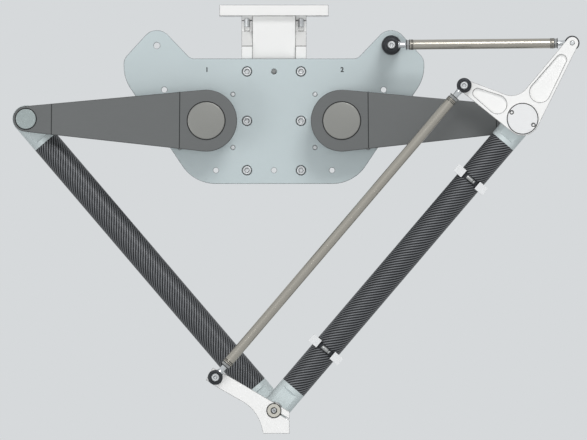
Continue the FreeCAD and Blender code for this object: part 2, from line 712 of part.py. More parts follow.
def bell_crank(**where):
    # The upper rod's pivots, shoulder and elbow stay a parallelogram.
    upper = (S.ear_offset - S.shoulder_offset, S.shoulder_drop - S.ear_drop)
    lower = (-S.lower_link_x, S.lower_link_y)
    outline = [(0, 0, S.crank_hub_radius, 1), (*upper, S.crank_tip_radius, 1),
               (-S.crank_fillet_x, S.crank_fillet_y, S.crank_fillet, -1),
               (*lower, S.crank_tip_radius, 1)]
    front = S.crank_back + S.crank_thickness
    piece = Piece("bell_crank")
    piece.pad(belt(outline), S.crank_back, S.crank_thickness)
    floor = front - S.pocket_depth
    upper_pocket = (upper, S.upper_pocket_near, S.upper_pocket_far,
                    S.upper_pocket_wide, S.upper_pocket_narrow)
    lower_pocket = (lower, S.lower_pocket_near, S.lower_pocket_far,
                    S.lower_pocket_wide, S.lower_pocket_narrow)
    for (x, y), near, far, wide, narrow in (upper_pocket, lower_pocket):
        pocket = [(x * near, y * near, wide, 1), (x * far, y * far, narrow, 1)]
        piece.pocket(belt(pocket), floor, S.pocket_depth)
    boss = S.right_layer + S.block_half_thickness + S.thrust_gap
    piece.pad(origin_circle(S.boss_radius), boss, S.crank_back - boss)
    rear = S.upper_rod_layer + S.ball_width / 2
    piece.pad(circles([upper], S.nose_radius), rear, S.crank_back - rear)
    ahead = S.lower_rod_layer - S.ball_width / 2
    piece.pad(circles([lower], S.nose_radius), front, ahead - front)
    piece.through(circles([upper, lower], S.mid_shank + S.running_fit))
    piece.through(origin_circle(S.boss_radius - S.hub_wall))
    piece.finish("bell_crank", **where)

    seat = S.boss_radius - S.hub_wall - S.seat_fit
    ring = cylinder(seat, front - boss - 2, (0, 0, boss + 1))
    bore = cylinder(S.pin_radius + S.running_fit, front, (0, 0, boss))
    finish(cut(ring, [bore]), "bell_crank_bearing", **where)

    disc = Piece("elbow_cover_disc")
    disc.pad(origin_circle(S.cover_radius), front, S.cover_thickness)
    reach = S.spanner_hole_reach
    turn = math.radians(-30)
    spots = [(reach * math.cos(turn) * side, reach * math.sin(turn) * side) for side in (1, -1)]
    disc.through(circles(spots, S.spanner_hole_radius))
    disc.finish("elbow_cover_disc", **where)

    upper_seat = S.upper_rod_layer - S.ball_width / 2
    lower_seat = S.lower_rod_layer + S.ball_width / 2
    upper_screw = screws("mid", [((*upper, upper_seat), "-z")], front - upper_seat)
    finish(upper_screw, "upper_tip_screw", **where)
    lower_screw = screws("mid", [((*lower, lower_seat), "z")], lower_seat - S.crank_back)
    finish(lower_screw, "lower_tip_screw", **where)
    balls("crank_balls", [(*upper, S.upper_rod_layer), (*lower, S.lower_rod_layer)], **where)


def balls(label, centres, **where):
    """Rod-end balls with flats, each on the screw that carries it."""
    solids, bores = [], []
    for x, y, layer in centres:
        flats = cylinder(S.ball_radius, S.ball_width, (x, y, layer - S.ball_width / 2))
        solids.append(common(sphere(S.ball_radius, (x, y, layer)), flats))
        bore = S.mid_shank + S.running_fit
        bores.append(cylinder(bore, S.ball_width * 2, (x, y, layer - S.ball_width)))
    finish(cut(fuse(solids), bores), label, **where)


def rod(name, layer, **where):
    """A stabiliser rod: two rod-end housings with necks, lock nuts and a round bar."""
    ends, bowls, nuts = [], [], []
    for start, axis in ((as_size(0), "x"), (S.forearm_length if name == "lower" else S.arm_length, "-x")):
        centre = (start, 0, layer - S.housing_width / 2)
        ends.append(cylinder(S.housing_radius, S.housing_width, centre))
        ends.append(cylinder(S.neck_radius, S.rod_inset - S.nut_length, (start, 0, layer), axis))
        bowls.append(sphere(S.ball_radius + S.ball_fit, (start, 0, layer)))
        nut_start = along((start, 0, layer), axis, S.neck_end)
        nuts.append(hexagon(S.nut_radius, S.nut_length, nut_start, axis))
    threads = [cylinder(S.neck_radius, S.forearm_length, (0, 0, layer), "x")]
    finish(cut(fuse(ends), bowls), name + "_rod_ends", **where)
    finish(cut(fuse(nuts), threads), name + "_rod_locknuts", **where)
    total = S.forearm_length if name == "lower" else S.arm_length
    collar = S.neck_end + S.nut_length
    parts = [cylinder(S.rod_radius, total - S.rod_inset * 2, (S.rod_inset, 0, layer), "x")]
    for start, axis in ((collar, "x"), (total - collar, "-x")):
        parts.append(cylinder(S.collar_radius, S.rod_inset - collar, (start, 0, layer), axis))
    finish(fuse(parts), name + "_rod", **where)


def ear_mount(**where):
    """The standoff on the right ear of the plate, with the ball and screw of the upper rod."""
    nose = S.upper_rod_layer - S.ball_width / 2
    standoff = Piece("ear_standoff")
    bore = S.mid_shank + S.running_fit
    standoff.turned([(bore, 0), (S.standoff_radius, 0), (S.standoff_radius, nose - S.nose_length),
                     (S.nose_radius, nose - S.nose_length), (S.nose_radius, nose), (bore, nose)])
    standoff.finish("ear_standoff", **where)
    balls("ear_ball", [(0, 0, S.upper_rod_layer)], **where)
    seat = S.upper_rod_layer + S.ball_width / 2
    finish(screws("mid", [((0, 0, seat), "z")], seat + S.plate_thickness), "ear_screw", **where)


# Wrist and tool bracket

def tool_bracket(**where):
    front = S.crank_back + S.bracket_thickness
    lever = (-S.lower_link_x, S.lower_link_y)
    edge = S.bracket_edge
    outline = [(S.bracket_right - S.bracket_corner, -S.bracket_corner_drop, S.bracket_corner, 1),
               (*lever, S.lever_radius, 1),
               (-S.bracket_fillet_x, -S.bracket_fillet_y, S.bracket_fillet, -1),
               (-S.bracket_left + edge, -S.bracket_drop + edge, edge, 1),
               (S.bracket_right - edge, -S.bracket_drop + edge, edge, 1)]
    piece = Piece("tool_bracket")
    piece.pad(belt(outline), S.crank_back, S.bracket_thickness)
    foot = rectangle(-S.bracket_left, -S.bracket_drop, S.bracket_right,
                     -S.bracket_drop + S.bracket_foot_thickness)
    piece.pad(foot, S.crank_back - S.bracket_foot_depth, S.bracket_foot_depth)
    boss = S.right_layer + S.block_half_thickness + S.thrust_gap
    piece.pad(origin_circle(S.boss_radius), boss, S.crank_back - boss)
    ahead = S.lower_rod_layer - S.ball_width / 2
    piece.pad(circles([lever], S.nose_radius), front, ahead - front)
    piece.through(circles([lever], S.mid_shank + S.running_fit))
    piece.through(origin_circle(S.wrist_pin_radius))
    slit = belt([(S.slit_x, -S.slit_drop, S.slit_half_width, 1),
                 (S.slit_root_x, -S.slit_root_drop, S.slit_half_width, 1)])
    piece.pocket(slit, boss - 1, front - boss + 2)
    middle = (S.bracket_right - S.bracket_left) / 2
    level = front - (S.bracket_foot_depth + S.bracket_thickness) / 2
    half = S.tool_hole_pitch / 2
    spots = [(middle + x, level + y) for x in (half, -half) for y in (half, -half)]
    # The foot's threaded holes go up from the tool face.
    start = S.bracket_drop - S.tool_hole_depth
    piece.pocket(circles(spots, S.tool_hole_radius), start, S.tool_hole_depth, "XZ_Plane")
    piece.finish("tool_bracket", **where)

    pin = Piece("wrist_pin")
    shoulder = S.right_layer - S.block_half_thickness - S.thrust_gap
    pin.turned([(0, S.wrist_gap), (S.wrist_spacer_radius, S.wrist_gap),
                (S.wrist_spacer_radius, shoulder), (S.wrist_pin_radius, shoulder),
                (S.wrist_pin_radius, front), (0, front)])
    pin.finish("wrist_pin", **where)
    washer = Piece("wrist_washer")
    washer.pad(origin_circle(S.washer_radius), front, S.washer_thickness)
    washer.pocket(origin_circle(S.washer_sink_radius), front + 1, S.washer_thickness)
    washer.finish("wrist_washer", **where)
    balls("lever_ball", [(*lever, S.lower_rod_layer)], **where)
    seat = S.lower_rod_layer + S.ball_width / 2
    finish(screws("mid", [((*lever, seat), "z")], seat - S.crank_back), "lever_screw", **where)


def wrist_sleeve(**where):
    """The ring on the wrist pin that turns in the bearings and holds the bracket off the block."""
    half = S.block_half_thickness + S.thrust_gap
    sleeve = cylinder(S.sleeve_radius, half * 2, (0, 0, -half))
    bore = cylinder(S.wrist_pin_radius + S.seat_fit, half * 2 + 2, (0, 0, -half - 1))
    finish(cut(sleeve, [bore]), "wrist_sleeve", **where)


def build():
    """Work out the rest pose, then make every sub-part in its place."""
    tilt = math.radians(float(S.arm_tilt))
    arm, forearm = float(S.arm_length), float(S.forearm_length)
    elbow_x = float(S.shoulder_offset) + arm * math.cos(tilt)
    elbow_up = -float(S.shoulder_drop) + arm * math.sin(tilt)
    wrist_up = elbow_up - math.sqrt(forearm ** 2 - elbow_x ** 2)
    lean = math.degrees(math.atan2(elbow_up - wrist_up, elbow_x))

    top_flange()
    side_plate("left_side_plate", -1)
    side_plate("right_side_plate", 1)
    front_level, back_level = web_levels()
    web("front_web", front_level)
    web("rear_web", back_level)
    base_plate()
    frame_screws()
    for name, side in (("left", -1), ("right", 1)):
        gearbox(name + "_gearbox", side)
        servo_motor(name + "_servo_motor", side)
    motor_connectors()
    gearbox_screws()
    ear_mount(x=S.ear_offset, up=-S.ear_drop)

    upper_arm(1, S.shoulder_offset, float(S.arm_tilt))
    upper_arm(-1, -S.shoulder_offset, 180 - float(S.arm_tilt))
    elbow_pins(elbow_x, elbow_up)

    fit = S.pin_radius + S.running_fit
    left_elbow = {"x": -elbow_x, "up": elbow_up, "layer": S.left_layer, "turn": -lean}
    left_wrist = {"x": 0, "up": wrist_up, "layer": S.left_layer, "turn": 180 - lean}
    forearm_tube("left_forearm_tube", **left_elbow)
    end_block("left_elbow_block", S.bearing_radius, **left_elbow)
    bearing_pair("left_elbow_bearings", fit, **left_elbow)
    end_block("left_wrist_block", S.bearing_radius, **left_wrist)
    bearing_pair("left_wrist_bearings", S.pin_radius, **left_wrist)
    left_wrist_stub(**left_wrist)

    right_elbow = {"x": elbow_x, "up": elbow_up, "layer": S.right_layer, "turn": 180 + lean}
    right_wrist = {"x": 0, "up": wrist_up, "layer": S.right_layer, "turn": lean}
    forearm_tube("right_forearm_tube", **right_elbow)
    end_block("right_elbow_block", S.bearing_radius, **right_elbow)
    bearing_pair("right_elbow_bearings", fit, **right_elbow)
    end_block("right_wrist_block", S.bearing_radius, **right_wrist)
    bearing_pair("right_wrist_bearings", S.sleeve_radius + S.running_fit, **right_wrist)
    hose_holders(**right_elbow)

    bell_crank(x=elbow_x, up=elbow_up)
    rod("upper", S.upper_rod_layer, x=S.ear_offset, up=-S.ear_drop, turn=float(S.arm_tilt))
    lower_x, lower_up = elbow_x - float(S.lower_link_x), elbow_up + float(S.lower_link_y)
    rod("lower", S.lower_rod_layer, x=lower_x, up=lower_up, turn=180 + lean)
    wrist_sleeve(x=0, up=wrist_up, layer=S.right_layer)
    tool_bracket(x=0, up=wrist_up)
    print(f"elbow {elbow_x:.4f} {elbow_up:.4f} wrist {wrist_up:.4f} lean {lean:.4f}")


def check():
    """Stop if any object failed, a pocket cut nothing or a sub-part isn't a sound solid."""
    for obj in doc.Objects:
        if "Invalid" in obj.State or "Error" in obj.State:
            raise RuntimeError(f"{obj.Name} failed: {obj.State}")
        if obj.TypeId == "PartDesign::Pocket":
            if obj.Shape.Volume > obj.BaseFeature.Shape.Volume - 0.01:
                raise RuntimeError(f"{obj.Name} cuts nothing")
    for obj in finished:
        if obj.Shape.isNull() or not obj.Shape.isValid() or not obj.Shape.Solids:
            raise RuntimeError(f"{obj.Label} has no sound shape")


build()
doc.recompute()
check()
os.makedirs("parts", exist_ok=True)
for sub_part in finished:
    sub_part.Shape.exportStep(f"parts/{sub_part.Label}.step")
print(len(finished), "sub-parts")
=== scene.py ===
"""Planar delta robot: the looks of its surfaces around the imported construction."""

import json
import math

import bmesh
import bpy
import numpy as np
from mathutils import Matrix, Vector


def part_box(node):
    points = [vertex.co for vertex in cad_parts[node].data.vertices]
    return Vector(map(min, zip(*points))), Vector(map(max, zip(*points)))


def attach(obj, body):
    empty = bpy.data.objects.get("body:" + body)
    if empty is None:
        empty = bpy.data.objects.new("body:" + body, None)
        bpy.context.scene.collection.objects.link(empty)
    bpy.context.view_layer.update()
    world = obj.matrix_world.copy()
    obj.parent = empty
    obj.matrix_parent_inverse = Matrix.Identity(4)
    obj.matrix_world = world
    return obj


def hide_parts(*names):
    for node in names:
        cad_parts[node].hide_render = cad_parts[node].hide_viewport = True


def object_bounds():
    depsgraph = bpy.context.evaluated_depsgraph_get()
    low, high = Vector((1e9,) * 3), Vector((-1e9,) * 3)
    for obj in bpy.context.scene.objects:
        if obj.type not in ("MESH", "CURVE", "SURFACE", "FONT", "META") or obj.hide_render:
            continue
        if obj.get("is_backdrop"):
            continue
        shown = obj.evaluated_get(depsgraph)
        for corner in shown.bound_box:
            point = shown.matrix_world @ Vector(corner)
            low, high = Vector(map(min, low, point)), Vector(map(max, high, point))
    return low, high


bl_info = {
    "name": "Planar Delta Robot",
    "version": (1, 0, 0),
    "blender": (4, 5, 0),
    "location": "View3D > Sidebar > Delta Robot",
    "description": "Dresses the frame, drives, arms, rods and tool bracket of a planar delta robot",
    "category": "Add Mesh",
}

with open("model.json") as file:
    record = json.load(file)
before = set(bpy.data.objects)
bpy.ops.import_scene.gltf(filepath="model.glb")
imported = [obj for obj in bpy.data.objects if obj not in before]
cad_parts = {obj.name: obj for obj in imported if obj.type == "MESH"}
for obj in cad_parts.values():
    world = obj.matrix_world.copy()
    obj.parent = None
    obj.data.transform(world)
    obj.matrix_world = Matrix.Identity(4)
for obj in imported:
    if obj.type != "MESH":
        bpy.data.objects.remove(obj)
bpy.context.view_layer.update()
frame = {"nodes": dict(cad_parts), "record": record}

MM = 0.001


def joint_place(name):
    """A joint's point in metres at rest, from the record."""
    for joint in frame["record"]["behaviour"]["joints"]:
        if joint["name"] == name:
            return np.array(joint["pos_m"], float)
    raise RuntimeError("no joint " + name)


def box_centre(node):
    """The middle of a node's box at rest, in metres."""
    low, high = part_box(node)
    return (np.array(low) + np.array(high)) / 2


LEFT_ELBOW = joint_place("left_elbow")
RIGHT_ELBOW = joint_place("right_elbow")
WRIST = joint_place("wrist_pivot")
EAR = joint_place("upper_rod_pivot")
LOWER_TOP = joint_place("lower_rod_pivot")
LEFT_WRIST = np.array([WRIST[0], LEFT_ELBOW[1], WRIST[2]])
LEVER_TIP = LOWER_TOP + (WRIST - RIGHT_ELBOW)
FORWARD = np.array([0.0, -1.0, 0.0])
RIGHTWARD = np.array([1.0, 0.0, 0.0])
UPWARD = np.array([0.0, 0.0, 1.0])

# Painted shade lines across the side plates, in mm below the top of the flange, and half the
# width of these painted shade lines there and on the arms
COLUMN_SHADE_LINES = (28.7, 49.9, 75.5)
COLUMN_SHADE_LINE_HALF = 0.7
ARM_SHADE_LINE_HALF = 0.8

# Sockets of a colour mix: its factor, its two colours and its result
FACTOR, LOW, HIGH, MIXED = 0, 6, 7, 2


# Settings that a user would change

class SurfaceSizes(bpy.types.PropertyGroup):
    """Real sizes of what the surfaces show, in millimetres unless named otherwise."""

    edge_round: bpy.props.FloatProperty(
        name="Edge round", description="Reach over which an edge looks rounded and shaded in mm",
        default=1.8, min=0.1)
    tube_radius: bpy.props.FloatProperty(
        name="Tube radius", description="Outer radius of a forearm tube in mm", default=25.0)
    tube_wall: bpy.props.FloatProperty(
        name="Tube wall", description="Wall of a forearm tube in mm", default=3.0)
    tube_start: bpy.props.FloatProperty(
        name="Tube start", description="Distance from a pivot to the tube in mm", default=55.0)
    rib_pitch: bpy.props.FloatProperty(
        name="Rib pitch", description="Spacing of the wound ribs along the tube in mm",
        default=6.85)
    rib_starts: bpy.props.IntProperty(
        name="Rib starts", description="Ribs that wind side by side", default=25)
    rib_height: bpy.props.FloatProperty(
        name="Rib height", description="Height of a wound rib in mm", default=0.35)
    # Where the painted shade lines on the arms stand
    root_seam: bpy.props.FloatProperty(
        name="Root shade line", description="Distance from the shoulder to its flat's end in mm",
        default=48.6)
    tip_seam: bpy.props.FloatProperty(
        name="Tip shade line", description="Distance from the elbow to its flat's end in mm",
        default=46.8)
    numeral_height: bpy.props.FloatProperty(
        name="Numeral height", description="Height of the axis numbers in mm", default=8.5)
    floor_gap: bpy.props.FloatProperty(
        name="Floor gap", description="Height at which the robot hangs over the floor, in metres",
        default=0.62, subtype="DISTANCE")
    lens: bpy.props.FloatProperty(
        name="Lens", description="Focal length that keeps the view nearly parallel, in mm",
        default=1200.0)
    view_width: bpy.props.FloatProperty(
        name="View width", description="Width that the picture shows, in metres", default=1.0729,
        subtype="DISTANCE")


def colour_property(name, default):
    """A colour that a user would change, kept as an sRGB hex value."""
    return bpy.props.StringProperty(name=name, description=name + " as an sRGB hex value",
                                    default=default)


class SurfaceColours(bpy.types.PropertyGroup):
    """Colours of the robot's finishes, as sRGB hex values."""

    powder_coat: colour_property("Powder coat", "F1F1F0")
    plate: colour_property("Blasted plate", "C3CED0")
    arm: colour_property("Hard anodised arm", "696B6B")
    # Dark of the painted shade lines at the edges of the arms and side plates
    seam: colour_property("Scribed seam", "202222")
    cap: colour_property("Shoulder cap", "90908C")
    block: colour_property("Forearm end block", "CCD6D7")
    pin: colour_property("Elbow pin", "A9B3B2")
    cover: colour_property("Elbow cover", "F0F0F0")
    # Near-black of the thin rings of painted shade at rims and joins
    seal: colour_property("Seal rubber", "161718")
    washer: colour_property("Wrist washer", "CDCAC0")
    rod: colour_property("Stabiliser rod", "B5B0A6")
    steel: colour_property("Machined steel", "A8A9A8")
    zinc: colour_property("Zinc plated screw", "DFE1E2")
    black_steel: colour_property("Blackened steel", "36383B")
    chrome: colour_property("Hard chrome", "D9DBDC")
    gearbox: colour_property("Gearbox casting", "9A9EA0")
    motor: colour_property("Motor enamel", "202225")
    carbon_groove: colour_property("Carbon groove", "191A1D")
    carbon_rib: colour_property("Carbon rib", "7B7D80")
    guide: colour_property("Guide plastic", "D4D7D9")
    numeral: colour_property("Numeral", "2C3032")
    floor: colour_property("Floor", "D6D9DB")


def sizes():
    """The scene's own copy of the sizes."""
    return bpy.context.scene.robot_sizes


def colours():
    """The scene's own copy of the colours."""
    return bpy.context.scene.robot_colours


# Colour and node helpers

def to_linear(hex_value):
    """An sRGB hex value as a linear colour with full alpha."""
    srgb = np.array([int(hex_value[i:i + 2], 16) for i in (0, 2, 4)]) / 255
    linear = np.where(srgb <= 0.04045, srgb / 12.92, ((srgb + 0.055) / 1.055) ** 2.4)
    return (*linear.tolist(), 1.0)


def add(tree, kind, inputs=None, links=None, **settings):
    """Add one node with its settings, input values and incoming links."""
    made = tree.nodes.new(kind)
    for key, value in settings.items():
        setattr(made, key, value)
    for key, value in (inputs or {}).items():
        made.inputs[key].default_value = value
    for key, socket in (links or {}).items():
        tree.links.new(socket, made.inputs[key])
    return made


def new_material(name):
    """An empty material and its node tree."""
    material = bpy.data.materials.new(name)
    material.use_nodes = True
    material.node_tree.nodes.clear()
    return material, material.node_tree


def close_material(tree, shader):
    """Link a shader to the material's output."""
    add(tree, "ShaderNodeOutputMaterial", links={"Surface": shader.outputs[0]})


def two_tones(tree, factor, hex_value, spread):
    """Mix a darker and a lighter tone of one sRGB hex colour by a factor."""
    colour = to_linear(hex_value)[:3]
    low = [channel * (1 - spread) for channel in colour]
    high = [min(channel * (1 + spread), 1) for channel in colour]
    mix = add(tree, "ShaderNodeMix", {LOW: (*low, 1), HIGH: (*high, 1)}, {FACTOR: factor},
              data_type="RGBA")
    return mix.outputs[MIXED]


def broken_edges(tree, share=1.0):
    """The normal over broken edges, and how near a point is to one, from 0 to 1, which drives the
    painted shade along them. It counts as near where that normal turns by 8 degrees from the face's
    own, and as at the edge by 30: 0.99 and 0.87 are the cosines."""
    edge = add(tree, "ShaderNodeBevel", {"Radius": sizes().edge_round * share * MM}, samples=6)
    face = add(tree, "ShaderNodeNewGeometry")
    match = add(tree, "ShaderNodeVectorMath", {}, {0: edge.outputs[0], 1: face.outputs["Normal"]},
                operation="DOT_PRODUCT")
    near = add(tree, "ShaderNodeMapRange", {"From Min": 0.99, "From Max": 0.87},
               {"Value": match.outputs["Value"]})
    return edge.outputs[0], near.outputs[0]


def darkened(tree, tone, near):
    """A tone darkened towards the broken edges: painted shade along every edge."""
    shade, share = (0.01, 0.01, 0.011, 1), 0.88
    weight = add(tree, "ShaderNodeMath", {1: -share, 2: 1.0}, {0: near}, operation="MULTIPLY_ADD")
    mix = add(tree, "ShaderNodeMix", {LOW: shade}, {FACTOR: weight.outputs[0], HIGH: tone},
              data_type="RGBA")
    return mix.outputs[MIXED]


def grained(name, colour, metallic, roughness, grain, stretch=(1, 1, 1), depth=0.02, spread=0.06,
            rough_spread=0.06, coat=0.0, overlay=None, edge_share=1.0):
    """A surface of an sRGB hex colour, whose grain, in mm, drives its tone, its roughness and a
    shallow relief in mm. A second, broad noise of 60 mm gives the slow change of tone of a
    handled part. An overlay draws on the tone, such as painted shade lines, and edge_share is the
    reach of its broken edges and of the painted shade along them, as a share of the common one."""
    broad_grain, fine_weight = 60 * MM, 0.6
    material, tree = new_material(name)
    place = add(tree, "ShaderNodeTexCoord")
    mapping = add(tree, "ShaderNodeMapping", {"Scale": stretch},
                  {"Vector": place.outputs["Object"]})
    fine = add(tree, "ShaderNodeTexNoise", {"Scale": 1 / (grain * MM), "Detail": 3.0},
               {"Vector": mapping.outputs[0]})
    broad = add(tree, "ShaderNodeTexNoise", {"Scale": 1 / broad_grain, "Detail": 2.0},
                {"Vector": place.outputs["Object"]})
    blend = add(tree, "ShaderNodeMath", {1: fine_weight}, {0: fine.outputs[0]},
                operation="MULTIPLY")
    total = add(tree, "ShaderNodeMath", {1: 1 - fine_weight},
                {0: broad.outputs[0], 2: blend.outputs[0]}, operation="MULTIPLY_ADD")
    tone = two_tones(tree, total.outputs[0], colour, spread)
    rough = add(tree, "ShaderNodeMapRange", {"To Min": roughness - rough_spread,
                                             "To Max": roughness + rough_spread},
                {"Value": total.outputs[0]})
    edge, near = broken_edges(tree, edge_share)
    # Painted shade darkens the tone along the broken edges.
    tone = darkened(tree, overlay(tree, tone) if overlay else tone, near)
    relief = add(tree, "ShaderNodeBump", {"Strength": 0.5, "Distance": depth * MM},
                 {"Height": fine.outputs[0], "Normal": edge})
    shader = add(tree, "ShaderNodeBsdfPrincipled", {"Metallic": metallic, "Coat Weight": coat},
                 {"Base Color": tone, "Roughness": rough.outputs[0], "Normal": relief.outputs[0]})
    close_material(tree, shader)
    return material


def lathed(name, colour, metallic, roughness, centre):
    """Metal of an sRGB hex colour, faced on a lathe: rings of tone and relief about an axis
    along y through a centre, drawn 0.5 mm apart, coarser than real, so that they show."""
    groove, spread, rough_spread = 0.5, 0.07, 0.06
    material, tree = new_material(name)
    place = add(tree, "ShaderNodeTexCoord")
    offset = add(tree, "ShaderNodeVectorMath", {1: tuple(-np.array(centre))},
                 {0: place.outputs["Object"]}, operation="ADD")
    flat = add(tree, "ShaderNodeVectorMath", {1: (1, 0, 1)}, {0: offset.outputs[0]},
               operation="MULTIPLY")
    reach = add(tree, "ShaderNodeVectorMath", links={0: flat.outputs[0]}, operation="LENGTH")
    rings = add(tree, "ShaderNodeTexNoise", {"Scale": 1 / (groove * MM), "Detail": 2.0},
                {"W": reach.outputs["Value"]}, noise_dimensions="1D")
    tone = two_tones(tree, rings.outputs[0], colour, spread)
    rough = add(tree, "ShaderNodeMapRange", {"To Min": roughness - rough_spread,
                                             "To Max": roughness + rough_spread},
                {"Value": rings.outputs[0]})
    edge, near = broken_edges(tree)
    # Painted shade darkens the tone along the broken edges.
    tone = darkened(tree, tone, near)
    relief = add(tree, "ShaderNodeBump", {"Strength": 0.4, "Distance": 0.02 * MM},
                 {"Height": rings.outputs[0], "Normal": edge})
    shader = add(tree, "ShaderNodeBsdfPrincipled", {"Metallic": metallic},
                 {"Base Color": tone, "Roughness": rough.outputs[0], "Normal": relief.outputs[0]})
    close_material(tree, shader)
    return material


# Materials, named for the real finish, and the black of the rings of painted shade

def powder_coat(overlay=None, name="powder_coat"):
    """Polyester powder coat on milled aluminium: white, satin, with a fine orange peel."""
    return grained(name, colours().powder_coat, metallic=0.0, roughness=0.36, grain=1.4,
                   depth=0.05, spread=0.025, coat=0.15, overlay=overlay, edge_share=1.2)


def blasted_aluminium():
    """Bead blasted and clear anodised aluminium: pale blue-grey, matt, with a fine speckle."""
    # The wider edge reach widens the painted shade round the plate's holes and edges.
    return grained("blasted_aluminium", colours().plate, metallic=0.3, roughness=0.46,
                   grain=0.5, depth=0.03, edge_share=1.4)


def seamed(tree, tone, along, station, half, front):
    """A tone with a painted dark shade line on a front face, where the distance along is within a
    half width of a station."""
    line = add(tree, "ShaderNodeMath", {1: station, 2: half}, {0: along}, operation="COMPARE")
    shown = add(tree, "ShaderNodeMath", links={0: line.outputs[0], 1: front},
                operation="MULTIPLY")
    mix = add(tree, "ShaderNodeMix", {HIGH: to_linear(colours().seam)},
              {FACTOR: shown.outputs[0], LOW: tone}, data_type="RGBA")
    return mix.outputs[MIXED]


def column_seams(tree, tone):
    """Level painted shade lines across the front of the side plates, at the edges of their pockets.
    Faces that look within about 45 degrees of forward count as the front."""
    front_limit = -0.7
    place = add(tree, "ShaderNodeTexCoord")
    parts = add(tree, "ShaderNodeSeparateXYZ", links={0: place.outputs["Object"]})
    face = add(tree, "ShaderNodeNewGeometry")
    facing = add(tree, "ShaderNodeSeparateXYZ", links={0: face.outputs["Normal"]})
    front = add(tree, "ShaderNodeMath", {1: front_limit}, {0: facing.outputs[1]},
                operation="LESS_THAN")
    for drop in COLUMN_SHADE_LINES:
        tone = seamed(tree, tone, parts.outputs[2], -drop * MM, COLUMN_SHADE_LINE_HALF * MM,
                      front.outputs[0])
    return tone


def arm_seams(tree, tone):
    """Painted shade lines across the front of both arms, where the flats meet the tapered web.
    The distance along an arm is |x| cos a + z sin a, counted from its shoulder."""
    front_depth = 12 * MM
    shoulder = joint_place("right_shoulder")
    reach = RIGHT_ELBOW - shoulder
    length = math.hypot(reach[0], reach[2])
    cosine, sine = reach[0] / length, reach[2] / length
    place = add(tree, "ShaderNodeTexCoord")
    parts = add(tree, "ShaderNodeSeparateXYZ", links={0: place.outputs["Object"]})
    side = add(tree, "ShaderNodeMath", links={0: parts.outputs[0]}, operation="ABSOLUTE")
    offset = -shoulder[0] * cosine - shoulder[2] * sine
    rise = add(tree, "ShaderNodeMath", {1: sine, 2: offset}, {0: parts.outputs[2]},
               operation="MULTIPLY_ADD")
    along = add(tree, "ShaderNodeMath", {1: cosine}, {0: side.outputs[0], 2: rise.outputs[0]},
                operation="MULTIPLY_ADD")
    front = add(tree, "ShaderNodeMath", {1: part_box("left_upper_arm")[0][1] + front_depth},
                {0: parts.outputs[1]}, operation="LESS_THAN")
    for station in (sizes().root_seam * MM, length - sizes().tip_seam * MM):
        tone = seamed(tree, tone, along.outputs[0], station, ARM_SHADE_LINE_HALF * MM, front.outputs[0])
    return tone


def milled_arm():
    """Hard anodised aluminium: mid grey with faint cutter lines along the arm.
    The lines are drawn 1.2 mm apart, coarser than real, so that they show."""
    # The overlay paints shade lines where the flats meet the tapered web.
    return grained("milled_arm", colours().arm, metallic=0.4, roughness=0.44, grain=1.2,
                   stretch=(0.05, 1, 1), overlay=arm_seams, edge_share=1.5)


def block_aluminium():
    """Turned and milled end blocks, clear anodised: pale blue-grey, smoother than the plate."""
    return grained("block_aluminium", colours().block, metallic=0.2, roughness=0.4, grain=0.6,
                   stretch=(1, 0.3, 1), depth=0.015, edge_share=0.3)


def shoulder_cap_finish(centre, name):
    """A faced aluminium cap: warm grey with turning rings."""
    return lathed(name, colours().cap, metallic=0.5, roughness=0.36, centre=centre)


def pin_finish(centre, name):
    """A ground steel pin head with turning rings."""
    return lathed(name, colours().pin, metallic=0.7, roughness=0.3, centre=centre)


def cover_finish():
    """The faced cover disc of the elbow, pale and satin."""
    return lathed("cover_finish", colours().cover, metallic=0.5, roughness=0.32,
                  centre=RIGHT_ELBOW)


def washer_finish():
    """The turned wrist washer, warm and satin."""
    return lathed("washer_finish", colours().washer, metallic=0.4, roughness=0.36, centre=WRIST)


def seal_rubber():
    """Near-black matt of the thin rings round caps, pins and rod ends: painted shade at their rims
    and joins.
    """
    return grained("seal_rubber", colours().seal, metallic=0.0, roughness=0.6, grain=0.6,
                   depth=0.01)


def polished_rod():
    """Drawn and polished stainless rod: warm and bright, with a very fine even grain."""
    return grained("polished_rod", colours().rod, metallic=0.9, roughness=0.28, grain=0.4,
                   depth=0.004, spread=0.05)


def machined_steel():
    """Plain machined steel of output flanges, bearings, the wrist pin, lock nuts and worms."""
    return grained("machined_steel", colours().steel, metallic=0.85, roughness=0.33, grain=0.5,
                   depth=0.01)


def zinc_plating():
    """Bright zinc on screws and nuts, with a cloudy passivated tone."""
    # The wider edge reach widens the painted shade round heads and sockets.
    return grained("zinc_plating", colours().zinc, metallic=0.7, roughness=0.34, grain=2.0,
                   depth=0.01, spread=0.08, edge_share=1.3)


def black_oxide():
    """Blackened steel: nearly black, with a dull oiled sheen."""
    return grained("black_oxide", colours().black_steel, metallic=0.6, roughness=0.38,
                   grain=0.8, depth=0.01, spread=0.12)


def hard_chrome():
    """Hard chrome on the rod-end balls and necks: bright and almost smooth."""
    return grained("hard_chrome", colours().chrome, metallic=1.0, roughness=0.12, grain=0.3,
                   depth=0.002, spread=0.02, rough_spread=0.03)


def gearbox_casting():
    """Fine cast and blasted aluminium of the gearboxes."""
    return grained("gearbox_casting", colours().gearbox, metallic=0.45, roughness=0.5,
                   grain=0.9, depth=0.05, spread=0.08)


def motor_enamel():
    """Black stoving enamel on the servo motors: dark, satin, with a fine orange peel."""
    return grained("motor_enamel", colours().motor, metallic=0.0, roughness=0.4, grain=1.6,
                   depth=0.05, spread=0.1, coat=0.2)


def guide_plastic():
    """Moulded acetal of the hose guides: pale grey, faintly waxy."""
    return grained("guide_plastic", colours().guide, metallic=0.0, roughness=0.42, grain=1.0,
                   spread=0.04)


def numeral_paint():
    """Grey engraving paint of the axis numbers."""
    return grained("numeral_paint", colours().numeral, metallic=0.0, roughness=0.55, grain=0.4,
                   depth=0.01)


